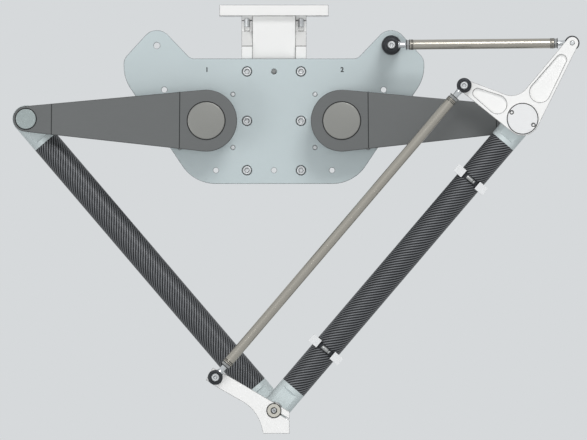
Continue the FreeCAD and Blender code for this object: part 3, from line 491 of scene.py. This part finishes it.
def wound_carbon():
    """Filament-wound carbon fibre under clear resin: black grooves and grey ribs, with a gloss.
    The rib height stored on the mesh gives the tone; a fine noise of 0.5 mm stands for tow."""
    material, tree = new_material("wound_carbon")
    rib = add(tree, "ShaderNodeAttribute", attribute_name="rib")
    place = add(tree, "ShaderNodeTexCoord")
    tow = add(tree, "ShaderNodeTexNoise", {"Scale": 1 / (0.5 * MM), "Detail": 2.0},
              {"Vector": place.outputs["Object"]})
    varied = add(tree, "ShaderNodeMath", {1: 0.25, 2: -0.12}, {0: tow.outputs[0]},
                 operation="MULTIPLY_ADD")
    factor = add(tree, "ShaderNodeMath", links={0: rib.outputs["Fac"], 1: varied.outputs[0]},
                 operation="ADD", use_clamp=True)
    ramp = add(tree, "ShaderNodeValToRGB", links={"Fac": factor.outputs[0]})
    groove, crest = ramp.color_ramp.elements
    groove.position, groove.color = 0.3, to_linear(colours().carbon_groove)
    crest.position, crest.color = 0.85, to_linear(colours().carbon_rib)
    rough = add(tree, "ShaderNodeMapRange", {"To Min": 0.55, "To Max": 0.42},
                {"Value": rib.outputs["Fac"]})
    relief = add(tree, "ShaderNodeBump", {"Strength": 0.3, "Distance": 0.02 * MM},
                 {"Height": tow.outputs[0]})
    shader = add(tree, "ShaderNodeBsdfPrincipled",
                 {"Metallic": 0.5, "Coat Weight": 0.2, "Coat Roughness": 0.3},
                 {"Base Color": ramp.outputs[0], "Roughness": rough.outputs[0],
                  "Normal": relief.outputs[0]})
    close_material(tree, shader)
    return material


def kept(maker, *words):
    """The material that a maker function gives for some words, made once. The last word is its
    name, which is otherwise the maker's own."""
    found = bpy.data.materials.get(words[-1] if words else maker.__name__)
    return found or maker(*words)


def dress(material, *nodes):
    """Give carried-over nodes a material."""
    for node in nodes:
        solid = frame["nodes"][node]
        if not solid.material_slots:
            solid.data.materials.append(material)
        for place in solid.material_slots:
            place.material = material


# Surfaces from arrays

def make_object(name, points, faces, material, sharp=35.0, attributes=None):
    """A mesh object at the origin from an array of points and a list of faces."""
    mesh = bpy.data.meshes.new(name)
    mesh.from_pydata(points.tolist(), [], [list(face) for face in faces])
    for key, values in (attributes or {}).items():
        layer = mesh.attributes.new(key, "FLOAT", "POINT")
        layer.data.foreach_set("value", values.astype(np.float32))
    work = bmesh.new()
    work.from_mesh(mesh)
    bmesh.ops.recalc_face_normals(work, faces=work.faces)
    work.to_mesh(mesh)
    work.free()
    mesh.shade_smooth()
    mesh.set_sharp_from_angle(angle=math.radians(sharp))
    mesh.materials.append(material)
    made = bpy.data.objects.new(name, mesh)
    bpy.context.scene.collection.objects.link(made)
    return made


def grid_faces(rows, columns, wrap_rows=False):
    """Quads of a grid that closes round its columns, and round its rows if asked."""
    last = rows if wrap_rows else rows - 1
    row, column = np.meshgrid(np.arange(last), np.arange(columns), indexing="ij")
    above = (row + 1) % rows
    beside = (column + 1) % columns
    quads = np.stack([row * columns + column, row * columns + beside,
                      above * columns + beside, above * columns + column], axis=-1)
    return quads.reshape(-1, 4)


def across(axis):
    """Two unit vectors square to an axis."""
    axis = axis / np.linalg.norm(axis)
    helper = UPWARD if abs(axis[2]) < 0.9 else RIGHTWARD
    first = np.cross(helper, axis)
    first /= np.linalg.norm(first)
    return first, np.cross(axis, first)


def rounded(profile, radius, steps=4):
    """A profile of (along, out) points whose inner corners are arcs, as a denser array.
    Each corner's arc is a quadratic curve from one side to the other, radius from the corner."""
    profile = np.array(profile, float)
    bends = [profile[:1]]
    for before, corner, after in zip(profile[:-2], profile[1:-1], profile[2:]):
        back, ahead = before - corner, after - corner
        reach = min(radius, np.linalg.norm(back) * 0.45, np.linalg.norm(ahead) * 0.45)
        first = corner + back / np.linalg.norm(back) * reach
        last = corner + ahead / np.linalg.norm(ahead) * reach
        t = np.linspace(0, 1, steps)[:, None]
        bends.append((1 - t) ** 2 * first + 2 * t * (1 - t) * corner + t ** 2 * last)
    bends.append(profile[-1:])
    return np.vstack(bends)


def circle(columns):
    """Points round a circle of radius 1: (cos t, sin t)."""
    turn = np.linspace(0, 2 * np.pi, columns, endpoint=False)
    return np.stack([np.cos(turn), np.sin(turn)], axis=-1)


def carried(profile, start, axis, loop):
    """The points of a profile (along, out), in mm, carried round a loop of points (p, q):
    P(i, t) = start + along_i * axis + out_i * (p_t * a + q_t * b)."""
    axis = np.array(axis, float) / np.linalg.norm(axis)
    profile = np.array(profile, float) * MM
    rim = loop @ np.stack(across(axis))
    points = np.array(start) + profile[:, None, :1] * axis + profile[:, None, 1:] * rim[None]
    return points.reshape(-1, 3)


def closed_mesh(profile, start, axis, loop):
    """Points and faces of a profile that is carried round a loop and begins and ends on the
    axis, where a fan round one point closes it."""
    columns = len(loop)
    points = carried(profile[1:-1], start, axis, loop)
    ends = carried([profile[0], profile[-1]], start, axis, loop[:1])
    column = np.arange(columns)
    beside = (column + 1) % columns
    base = len(points)
    top = base - columns
    faces = grid_faces(base // columns, columns).tolist()
    faces += np.stack([beside, column, np.full(columns, base)], axis=-1).tolist()
    faces += np.stack([top + column, top + beside, np.full(columns, base + 1)], axis=-1).tolist()
    return np.vstack([points, ends]), faces


def lathe_mesh(profile, start, axis, columns=72):
    """Points and faces of a profile that is turned about an axis and begins and ends on it."""
    return closed_mesh(profile, start, axis, circle(columns))


def ring_mesh(profile, start, axis, columns=72):
    """Points and faces of a closed profile that is turned about an axis and stays off it."""
    points = carried(profile, start, axis, circle(columns))
    return points, grid_faces(len(profile), columns, wrap_rows=True).tolist()


def joined(name, meshes, material, sharp=35.0):
    """One object from several sets of points and faces."""
    points, faces, base = [], [], 0
    for some_points, some_faces in meshes:
        points.append(some_points)
        faces += [[index + base for index in face] for face in some_faces]
        base += len(some_points)
    return make_object(name, np.vstack(points), faces, material, sharp)


def closed_ring(inner, outer, low, high):
    """A closed rectangular section (along, out) with corners rounded by 0.4 mm, for ring_mesh."""
    corners = [(low, inner), (low, outer), (high, outer), (high, inner)]
    loop = [corners[-1], *corners, corners[0]]
    return rounded(loop, 0.4)[1:-1]


# Pieces

def carbon_tube(name, node, body, start, end):
    """A wound tube with a smooth inner wall: radius = R - h (1 - rib), where
    rib = (0.5 + 0.5 sin(2 pi v / pitch - starts u)) ^ 1.5, with u the angle and v the distance
    along. Each rib has six points across it and six along each pitch."""
    s = sizes()
    rib_points = 6
    span = end - start
    length = np.linalg.norm(span) / MM - 2 * s.tube_start
    axis = span / np.linalg.norm(span)
    columns, rows = s.rib_starts * rib_points, int(length / s.rib_pitch * rib_points)
    turn = np.linspace(0, 2 * np.pi, columns, endpoint=False)
    along = np.linspace(0, length, rows)
    phase = 2 * np.pi * along[:, None] / s.rib_pitch - s.rib_starts * turn[None]
    rib = (0.5 + 0.5 * np.sin(phase)) ** 1.5
    radius = s.tube_radius - s.rib_height * (1 - rib)
    inner = np.full((2, columns), s.tube_radius - s.tube_wall)
    radius = np.vstack([radius, inner])
    along = np.concatenate([along, [length, 0]])
    rim = circle(columns) @ np.stack(across(axis))
    points = (start + axis * (along[:, None, None] + s.tube_start) * MM
              + radius[..., None] * MM * rim[None])
    tone = np.vstack([rib, np.zeros((2, columns))]).reshape(-1)
    tube = make_object(name, points.reshape(-1, 3), grid_faces(len(along), columns, True),
                       kept(wound_carbon), 180.0, {"rib": tone})
    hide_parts(node)
    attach(tube, body)


def housing_section():
    """The section of a rod-end housing: a chamfered ring round a bowl that fits the ball, which
    is the arc (r sin t, r cos t) of its own radius."""
    bowl_radius, bowl_turn = 9.6, 0.62
    half_width, bore, shoulder, outside = 6, 7.9, 11.8, 13.6
    flat = half_width - 1.4
    rim = [(half_width, bore), (half_width, shoulder), (flat, outside), (-flat, outside),
           (-half_width, shoulder), (-half_width, bore)]
    arc = np.linspace(-bowl_turn, bowl_turn, 9)
    bowl = bowl_radius * np.stack([np.sin(arc), np.cos(arc)], axis=-1)
    return np.vstack([rounded(rim, 0.9), bowl])


def rod_pieces(name, body, start, end):
    """A stabiliser rod with its collars, housings and necks, and thin black rings of painted shade
    at the joins by the collars. The distances along it are in mm from the pivot at the middle of
    each housing."""
    span = end - start
    axis = span / np.linalg.norm(span)
    length = np.linalg.norm(span) / MM
    collar, rod_radius, collar_radius = 33, 9.0, 9.4
    near_end = [(collar, 0), (collar, collar_radius), (collar + 5.4, collar_radius),
                (collar + 5.4, rod_radius - 0.4), (collar + 7, rod_radius)]
    far_end = [(length - along, out) for along, out in reversed(near_end)]
    bar = joined(name + "_bar", [lathe_mesh(rounded(near_end + far_end, 0.8), start, axis)],
                 kept(polished_rod))
    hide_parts(name)
    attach(bar, body)
    housings, necks, shade_rings = [], [], []
    neck = rounded([(12.2, 0), (12.2, 6.8), (15.5, 5.4), (23, 5.0), (27, 5.0), (27.4, 6.5),
                    (collar, 6.5), (collar, 0)], 0.4)
    # Thin black rings at the joins by the collar: painted shade there
    seal = closed_ring(6.6, 9.7, -0.55, 0.55)
    shade_ring_stations = (26.9, 33.2, 36.2, 38.9)
    for place, way in ((start, axis), (end, -axis)):
        housings.append(ring_mesh(housing_section(), place, FORWARD))
        necks.append(lathe_mesh(neck, place, way))
        for station in shade_ring_stations:
            shade_rings.append(ring_mesh(seal, place + way * station * MM, way, 48))
    shell = joined(name + "_housings", housings, kept(black_oxide))
    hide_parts(name + "_ends")
    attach(shell, body)
    stems = joined(name + "_necks", necks, kept(hard_chrome))
    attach(stems, body)
    dress(kept(machined_steel), name + "_locknuts")
    rings = joined(name + "_seals", shade_rings, kept(seal_rubber))
    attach(rings, body)


def face_seal(name, centre, radius, face, body):
    """A thin near-black ring of painted shade on a face: round a cap, pin head, washer or screw, on
    the rim of the cover or in one of its spanner holes."""
    width, sunk, proud = 1.5, 0.3, 0.7
    start = np.array([centre[0], face, centre[2]])
    section = closed_ring(radius, radius + width, -sunk, proud)
    ring = joined(name, [ring_mesh(section, start, FORWARD, 96)], kept(seal_rubber))
    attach(ring, body)


def shoulder_cap(name, side, body):
    """A turned cap with a chamfered rim."""
    radius, half, chamfer = 34, 2.5, 0.8
    node = side + "_shoulder_cap"
    centre = box_centre(node)
    profile = [(-half, 0), (-half, radius), (half - chamfer, radius), (half, radius - chamfer),
               (half, 0)]
    finish = kept(shoulder_cap_finish, centre, name + "_finish")
    cap = joined(name, [lathe_mesh(rounded(profile, 0.5), centre, FORWARD, 96)], finish)
    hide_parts(node)
    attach(cap, body)
    # A thin black ring of painted shade round the cap's rim
    face_seal(name + "_seal", centre, radius + 0.05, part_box(node)[0][1] + 2 * MM, body)


def square_loop(half, corner, count=64):
    """A rounded square: a circle of the corner radius whose quarters are moved out to the
    corners of the square of half - corner, P(t) = (half - corner) sign(d_t) + corner d_t."""
    turn = np.linspace(0, 2 * np.pi, count, endpoint=False) + np.pi / count
    direction = np.stack([np.cos(turn), np.sin(turn)], axis=-1)
    return np.sign(direction) * (half - corner) + direction * corner


def motor_shell(name, side):
    """A servo motor: a rounded square carried along the axis, with an adapter in front and
    cooling grooves on the body, and a round encoder cap behind."""
    adapter_half, adapter_length, body_half, cap_length = 53, 14, 48, 42
    pitch, depth, chamfer, corner_share = 8, 1.4, 1, 0.18
    node = side + "_servo_motor"
    low, high = (np.array(corner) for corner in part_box(node))
    centre = (low + high) / 2
    front, body_end = low[1] / MM, high[1] / MM - cap_length
    adapter_end = front + adapter_length
    profile = [(front, 0), (front, adapter_half - chamfer), (front + chamfer, adapter_half),
               (adapter_end - chamfer, adapter_half), (adapter_end, adapter_half - chamfer),
               (adapter_end, body_half)]
    for place in np.arange(adapter_end + pitch / 2, body_end - pitch, pitch):
        profile += [(place, body_half), (place + chamfer, body_half - depth),
                    (place + 3 * chamfer, body_half - depth), (place + 4 * chamfer, body_half)]
    profile += [(body_end - chamfer, body_half), (body_end, body_half - chamfer), (body_end, 0)]
    shell = closed_mesh(profile, centre * (1, 0, 1), -FORWARD, square_loop(1.0, corner_share))
    cap_profile = [(-1, 0), (-1, 40), (30, 40), (33, 38.5), (38, 38.5), (cap_length, 35),
                   (cap_length, 0)]
    cap_start = np.array([centre[0], body_end * MM, centre[2]])
    cap = lathe_mesh(rounded(cap_profile, 1.5), cap_start, -FORWARD)
    motor = joined(name, [shell, cap], kept(motor_enamel))
    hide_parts(node)
    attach(motor, "frame")


def connectors():
    """Round connector sockets on the motors, with a ringed thread and an open mouth."""
    radius = 12
    thread = []
    for station in range(5):
        thread += [(15.5 + station * 2, radius - 1), (16.5 + station * 2, radius - 1.7)]
    profile = [(0, 0), (0, radius), (3, radius), (3.6, radius - 0.6), (13, radius - 0.6),
               (13.6, radius), (15, radius), *thread, (26, 10.6), (26, 9.4), (14, 9.4), (14, 0)]
    low, high = (np.array(corner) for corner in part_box("motor_connectors"))
    low_axis, high_axis = low + radius * MM, high - radius * MM
    meshes = []
    for x in (low_axis[0], high_axis[0]):
        for y in (low_axis[1], high_axis[1]):
            start = np.array([x, y, low[2]])
            meshes.append(lathe_mesh(rounded(profile, 0.3, 3), start, UPWARD, 48))
    made = joined("connector_sockets", meshes, kept(black_oxide), 30.0)
    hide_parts("motor_connectors")
    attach(made, "frame")


def hose_clamps():
    """Two clamps: a blackened band with raised rims round the tube, and the worm screw that
    draws it tight in front."""
    axis = (WRIST - RIGHT_ELBOW) / np.linalg.norm(WRIST - RIGHT_ELBOW)
    length = np.linalg.norm(WRIST - RIGHT_ELBOW) / MM
    side = np.cross(FORWARD, axis)
    clamp_station, worm_reach, worm_half = 146, 29.2, 9
    inside, floor, rim = 25.05, 26.6, 27.5
    section = rounded([(-5.5, inside), (-5.5, rim), (-4.3, rim), (-4.0, floor), (4.0, floor),
                       (4.3, rim), (5.5, rim), (5.5, inside)], 0.3, 3)
    worm = rounded([(0, 0), (0, 3.2), (1, 4.0), (13, 4.0), (14, 3.2), (14, 2.6), (14.6, 2.6),
                    (14.6, 3.6), (2 * worm_half, 3.6), (2 * worm_half, 0)], 0.3)
    bands, worms = [], []
    for station in (clamp_station, length - clamp_station):
        centre = RIGHT_ELBOW + axis * station * MM
        bands.append(ring_mesh(section, centre, axis, 96))
        start = centre + FORWARD * worm_reach * MM - side * worm_half * MM
        worms.append(lathe_mesh(worm, start, side, 36))
    band = joined("clamp_bands", bands, kept(black_oxide), 30.0)
    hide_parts("hose_straps")
    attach(band, "right_forearm")
    screws = joined("clamp_worms", worms, kept(machined_steel), 30.0)
    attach(screws, "right_forearm")


def wrist_screw():
    """The low socket screw in the middle of the wrist washer, and rings of painted shade round
    both.
    """
    screw_radius, washer_radius = 4.5, 12.35
    face, seat = (corner[1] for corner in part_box("wrist_washer"))
    start = np.array([WRIST[0], face, WRIST[2]])
    profile = [(-1.9, 0), (-1.9, 4.1), (0.6, 4.1), (0.9, 3.6), (0.9, 1.9), (-1.1, 1.7), (-1.1, 0)]
    screw = joined("wrist_screw", [lathe_mesh(rounded(profile, 0.2), start, FORWARD, 48)],
                   kept(zinc_plating))
    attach(screw, "tool_bracket")
    face_seal("screw_seal", WRIST, screw_radius, face, "tool_bracket")
    face_seal("washer_seal", WRIST, washer_radius, seat, "tool_bracket")


def lever_end():
    """The square end of the lever, whose corners show behind the rod end: a rounded square
    that points away from the wrist, at two depths, with its ends closed."""
    half, corner = 12.8, 1.0
    behind, sunk = 8.1, 0.1
    centre = box_centre("lever_ball")
    outward = (centre - WRIST) * (1, 0, 1)
    outward /= np.linalg.norm(outward)
    beside = np.cross(outward, FORWARD)
    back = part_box("right_wrist_block")[0][1] - behind * MM
    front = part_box("wrist_washer")[1][1] + sunk * MM
    loop = square_loop(half, corner, 32) * MM
    flat = centre * (1, 0, 1) + loop[:, :1] * outward + loop[:, 1:] * beside
    points = np.vstack([flat + (0, depth, 0) for depth in (back, front)])
    count = len(loop)
    faces = grid_faces(2, count).tolist() + [range(count), range(count, 2 * count)]
    end = make_object("lever_square_end", points, faces, kept(powder_coat))
    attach(end, "tool_bracket")


def numeral(text, x, z):
    """A painted axis number that stands a hair proud of the base plate. The font's figures
    are 0.7 of its size high, and the offset thickens their strokes."""
    figure_share, half_depth, offset, proud = 0.7, 0.12, 0.35, 0.05
    curve = bpy.data.curves.new("axis_" + text, "FONT")
    curve.body = text
    curve.size = sizes().numeral_height * MM / figure_share
    curve.extrude = half_depth * MM
    curve.offset = offset * MM
    curve.align_x = "CENTER"
    holder = bpy.data.objects.new("axis_" + text, curve)
    bpy.context.scene.collection.objects.link(holder)
    bpy.context.view_layer.update()
    mesh = bpy.data.meshes.new_from_object(holder)
    bpy.data.objects.remove(holder)
    points = np.zeros(len(mesh.vertices) * 3)
    mesh.vertices.foreach_get("co", points)
    points = points.reshape(-1, 3)
    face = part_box("base_plate")[0][1]
    moved = np.stack([points[:, 0] + x, face - points[:, 2] - proud * MM, points[:, 1] + z],
                     axis=-1)
    mesh.vertices.foreach_set("co", moved.reshape(-1))
    mesh.update()
    mesh.materials.clear()
    mesh.materials.append(kept(numeral_paint))
    made = bpy.data.objects.new("axis_number_" + text, mesh)
    bpy.context.scene.collection.objects.link(made)
    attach(made, "frame")


# Operators, one for each piece or group of like pieces

class DELTA_OT_frame(bpy.types.Operator):
    """Coat the flange, side plates and webs, and finish their screws"""

    bl_idname = "delta.frame"
    bl_label = "Frame"
    bl_options = {"REGISTER", "UNDO"}

    def execute(self, context):
        dress(kept(powder_coat), "top_flange", "front_web", "rear_web")
        # The side plates' coat carries painted shade lines at the edges of their pockets.
        dress(kept(powder_coat, column_seams, "powder_coat_column"), "left_side_plate",
              "right_side_plate")
        dress(kept(zinc_plating), "base_plate_screws", "flange_screws", "web_screws",
              "gearbox_screws")
        return {"FINISHED"}


class DELTA_OT_base_plate(bpy.types.Operator):
    """Blast the base plate and paint its axis numbers"""

    bl_idname = "delta.base_plate"
    bl_label = "Base plate"
    bl_options = {"REGISTER", "UNDO"}

    def execute(self, context):
        dress(kept(blasted_aluminium), "base_plate")
        beside, above = 1 * MM, 90 * MM
        for text, joint in (("1", "left_shoulder"), ("2", "right_shoulder")):
            shoulder = joint_place(joint)
            numeral(text, shoulder[0] + beside, shoulder[2] + above)
        return {"FINISHED"}


class DELTA_OT_drives(bpy.types.Operator):
    """Shape the motors and connectors and finish the gearboxes"""

    bl_idname = "delta.drives"
    bl_label = "Drives"
    bl_options = {"REGISTER", "UNDO"}

    def execute(self, context):
        dress(kept(gearbox_casting), "left_gearbox", "right_gearbox")
        dress(kept(machined_steel), "left_output_flange", "right_output_flange")
        for side in ("left", "right"):
            motor_shell(side + "_motor_shell", side)
        connectors()
        return {"FINISHED"}


class DELTA_OT_upper_arms(bpy.types.Operator):
    """Finish the two upper arms with their caps, pins and screws"""

    bl_idname = "delta.upper_arms"
    bl_label = "Upper arms"
    bl_options = {"REGISTER", "UNDO"}

    def execute(self, context):
        dress(kept(milled_arm), "left_upper_arm", "right_upper_arm")
        dress(kept(zinc_plating), "left_arm_screws", "right_arm_screws")
        for side in ("left", "right"):
            shoulder_cap(side + "_cap", side, side + "_upper_arm")
        dress(kept(pin_finish, LEFT_ELBOW, "left_pin_finish"), "left_elbow_pin",
              "left_elbow_retainer")
        dress(kept(pin_finish, RIGHT_ELBOW, "right_pin_finish"), "right_elbow_pin")
        head_radius, head_height = 18.6, 3
        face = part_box("left_elbow_pin")[0][1] + head_height * MM
        # A thin black ring of painted shade round the pin head
        face_seal("left_pin_seal", LEFT_ELBOW, head_radius, face, "left_upper_arm")
        return {"FINISHED"}


class DELTA_OT_forearms(bpy.types.Operator):
    """Wind the carbon tubes and finish the blocks, bearings and hose clamps"""

    bl_idname = "delta.forearms"
    bl_label = "Forearms"
    bl_options = {"REGISTER", "UNDO"}

    def execute(self, context):
        carbon_tube("left_wound_tube", "left_forearm_tube", "left_forearm", LEFT_ELBOW, LEFT_WRIST)
        carbon_tube("right_wound_tube", "right_forearm_tube", "right_forearm", RIGHT_ELBOW, WRIST)
        dress(kept(block_aluminium), "left_elbow_block", "left_wrist_block", "right_elbow_block",
              "right_wrist_block")
        dress(kept(machined_steel), "left_elbow_bearings", "left_wrist_bearings",
              "right_elbow_bearings", "right_wrist_bearings", "left_wrist_stub")
        dress(kept(guide_plastic), "hose_guides")
        hose_clamps()
        return {"FINISHED"}


class DELTA_OT_bell_crank(bpy.types.Operator):
    """Coat the bell crank and finish its cover and screws"""

    bl_idname = "delta.bell_crank"
    bl_label = "Bell crank"
    bl_options = {"REGISTER", "UNDO"}

    def execute(self, context):
        dress(kept(powder_coat), "bell_crank")
        dress(kept(machined_steel), "bell_crank_bearing")
        dress(kept(cover_finish), "elbow_cover_disc")
        rim_radius, hole_ring_radius = 27.3, 2.2
        front, back = (corner[1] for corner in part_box("elbow_cover_disc"))
        # Thin black rings of painted shade on the cover's rim and in its spanner holes
        face_seal("cover_seal", RIGHT_ELBOW, rim_radius, front, "bell_crank")
        hole = np.array([19.92, 0, -11.5]) * MM
        for name, way in (("low_spanner_ring", 1), ("high_spanner_ring", -1)):
            face_seal(name, RIGHT_ELBOW + hole * way, hole_ring_radius, back, "bell_crank")
        dress(kept(zinc_plating), "upper_tip_screw", "lower_tip_screw")
        return {"FINISHED"}


class DELTA_OT_rods(bpy.types.Operator):
    """Turn the stabiliser rods, their housings and necks, and finish balls and standoff"""

    bl_idname = "delta.rods"
    bl_label = "Stabiliser rods"
    bl_options = {"REGISTER", "UNDO"}

    def execute(self, context):
        arm = (RIGHT_ELBOW - joint_place("right_shoulder")) * (1, 0, 1)
        rod_pieces("upper_rod", "upper_rod", EAR, EAR + arm)
        rod_pieces("lower_rod", "lower_rod", LOWER_TOP, LEVER_TIP)
        dress(kept(black_oxide), "ear_standoff")
        dress(kept(hard_chrome), "ear_ball", "crank_balls", "lever_ball")
        dress(kept(zinc_plating), "ear_screw")
        return {"FINISHED"}


class DELTA_OT_tool_bracket(bpy.types.Operator):
    """Coat the tool bracket and finish the wrist"""

    bl_idname = "delta.tool_bracket"
    bl_label = "Tool bracket"
    bl_options = {"REGISTER", "UNDO"}

    def execute(self, context):
        dress(kept(powder_coat), "tool_bracket")
        dress(kept(machined_steel), "wrist_pin", "wrist_sleeve")
        dress(kept(washer_finish), "wrist_washer")
        dress(kept(zinc_plating), "lever_screw")
        wrist_screw()
        lever_end()
        return {"FINISHED"}


def soft_lamp(name, place, target, size, power, glossy=True):
    """A square area lamp that looks at a target, seen in shiny surfaces if glossy."""
    lamp = bpy.data.lights.new(name, "AREA")
    lamp.shape = "SQUARE"
    lamp.size = size
    lamp.energy = power
    holder = bpy.data.objects.new(name, lamp)
    holder.location = place
    holder.visible_glossy = glossy
    holder.rotation_mode = "QUATERNION"
    holder.rotation_quaternion = (Vector(target) - Vector(place)).to_track_quat("-Z", "Y")
    bpy.context.scene.collection.objects.link(holder)


def seen_rays(tree):
    """1 on rays that the camera, a mirror or glass sends out, and 0 on those that light things."""
    path = add(tree, "ShaderNodeLightPath")
    seen = add(tree, "ShaderNodeMath", links={0: path.outputs["Is Camera Ray"],
                                              1: path.outputs["Is Glossy Ray"]}, operation="ADD")
    seen = add(tree, "ShaderNodeMath", links={0: seen.outputs[0],
                                              1: path.outputs["Is Transmission Ray"]},
               operation="ADD", use_clamp=True)
    return seen


def pale_floor():
    """A matt floor that shows pale and keeps shadows: 0.6 of what is seen is its plain colour."""
    plain_share = 0.6
    material, tree = new_material("pale_floor")
    place = add(tree, "ShaderNodeTexCoord")
    cloud = add(tree, "ShaderNodeTexNoise", {"Scale": 1.5}, {"Vector": place.outputs["Object"]})
    tone = two_tones(tree, cloud.outputs[0], colours().floor, 0.02)
    matt = add(tree, "ShaderNodeBsdfPrincipled", {"Roughness": 0.8}, {"Base Color": tone})
    plain = add(tree, "ShaderNodeEmission", {"Strength": 1.0}, {"Color": tone})
    share = add(tree, "ShaderNodeMath", {1: plain_share}, {0: seen_rays(tree).outputs[0]},
                operation="MULTIPLY")
    mix = add(tree, "ShaderNodeMixShader", links={0: share.outputs[0], 1: matt.outputs[0],
                                                  2: plain.outputs[0]})
    close_material(tree, mix)
    return material


def pale_world():
    """A soft sky that lights the object at a plain level and shows pale to the camera."""
    world = bpy.data.worlds.new("pale_world")
    world.use_nodes = True
    tree = world.node_tree
    tree.nodes.clear()
    seen = seen_rays(tree)
    light = add(tree, "ShaderNodeBackground", {"Color": (1, 1, 1, 1), "Strength": 0.4})
    back = add(tree, "ShaderNodeBackground", {"Color": to_linear(colours().floor), "Strength": 1.0})
    mix = add(tree, "ShaderNodeMixShader", links={0: seen.outputs[0], 1: light.outputs[0],
                                                  2: back.outputs[0]})
    add(tree, "ShaderNodeOutputWorld", links={"Surface": mix.outputs[0]})
    bpy.context.scene.world = world


def lay_floor():
    """A round floor, 4 m in radius, under the lowest reach of the robot."""
    radius, corners = 4.0, 64
    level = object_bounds()[0][2] - sizes().floor_gap
    rim = np.hstack([circle(corners) * radius, np.full((corners, 1), level)])
    make_object("floor", rim, [range(corners)], pale_floor())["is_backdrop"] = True


def set_lamps():
    """Four soft lamps. The key and the fill stand off the camera's mirror line, so that flat
    metal faces keep their own tone, and the two that only fill shadows aren't mirrored."""
    target = (0, -0.15, -0.4)
    soft_lamp("key_lamp", (0.9, -4.0, 2.1), target, 1.4, 62)
    soft_lamp("fill_lamp", (-2.6, -3.9, -0.8), target, 1.6, 28)
    soft_lamp("front_lamp", (0.0, -6.5, -0.4), target, 1.2, 88, glossy=False)
    soft_lamp("back_lamp", (0.8, 3.4, 0.6), target, 2.0, 45, glossy=False)


def set_camera(scene):
    """A long lens that looks straight at the front, so the view is nearly parallel. Its
    distance gives the view width at the depth of the aim: distance = width * lens / sensor."""
    aim = np.array([35.8, -240.0, -394.8]) * MM
    camera = bpy.data.cameras.new("camera")
    camera.lens = sizes().lens
    camera.sensor_width = 36
    camera.clip_end = 60
    holder = bpy.data.objects.new("camera", camera)
    distance = sizes().view_width * camera.lens / camera.sensor_width
    holder.location = aim + FORWARD * distance
    holder.rotation_euler = (math.radians(90), 0, 0)
    scene.collection.objects.link(holder)
    scene.camera = holder


class DELTA_OT_stage(bpy.types.Operator):
    """Lay the floor and set the lamps, the sky and the camera"""

    bl_idname = "delta.stage"
    bl_label = "Stage"
    bl_options = {"REGISTER", "UNDO"}

    def execute(self, context):
        context.scene.view_settings.view_transform = "Standard"
        lay_floor()
        pale_world()
        set_lamps()
        set_camera(context.scene)
        return {"FINISHED"}


OPERATORS = (DELTA_OT_stage, DELTA_OT_frame, DELTA_OT_base_plate, DELTA_OT_drives,
             DELTA_OT_upper_arms, DELTA_OT_forearms, DELTA_OT_bell_crank, DELTA_OT_rods,
             DELTA_OT_tool_bracket)


class DELTA_PT_panel(bpy.types.Panel):
    """Lists the robot's groups of pieces"""

    bl_idname = "DELTA_PT_panel"
    bl_label = "Delta Robot"
    bl_space_type = "VIEW_3D"
    bl_region_type = "UI"
    bl_category = "Delta Robot"

    def draw(self, context):
        for operator in OPERATORS:
            self.layout.operator(operator.bl_idname)


CLASSES = (SurfaceSizes, SurfaceColours, *OPERATORS, DELTA_PT_panel)


def register():
    """Make the classes known and give the scene its sizes and colours."""
    for cls in CLASSES:
        bpy.utils.register_class(cls)
    bpy.types.Scene.robot_sizes = bpy.props.PointerProperty(type=SurfaceSizes)
    bpy.types.Scene.robot_colours = bpy.props.PointerProperty(type=SurfaceColours)


def unregister():
    """Take back what register gave."""
    del bpy.types.Scene.robot_colours
    del bpy.types.Scene.robot_sizes
    for cls in reversed(CLASSES):
        bpy.utils.unregister_class(cls)


def main():
    """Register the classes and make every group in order."""
    register()
    bpy.ops.delta.stage()
    bpy.ops.delta.frame()
    bpy.ops.delta.base_plate()
    bpy.ops.delta.drives()
    bpy.ops.delta.upper_arms()
    bpy.ops.delta.forearms()
    bpy.ops.delta.bell_crank()
    bpy.ops.delta.rods()
    bpy.ops.delta.tool_bracket()


if __name__ == "__main__":
    main()
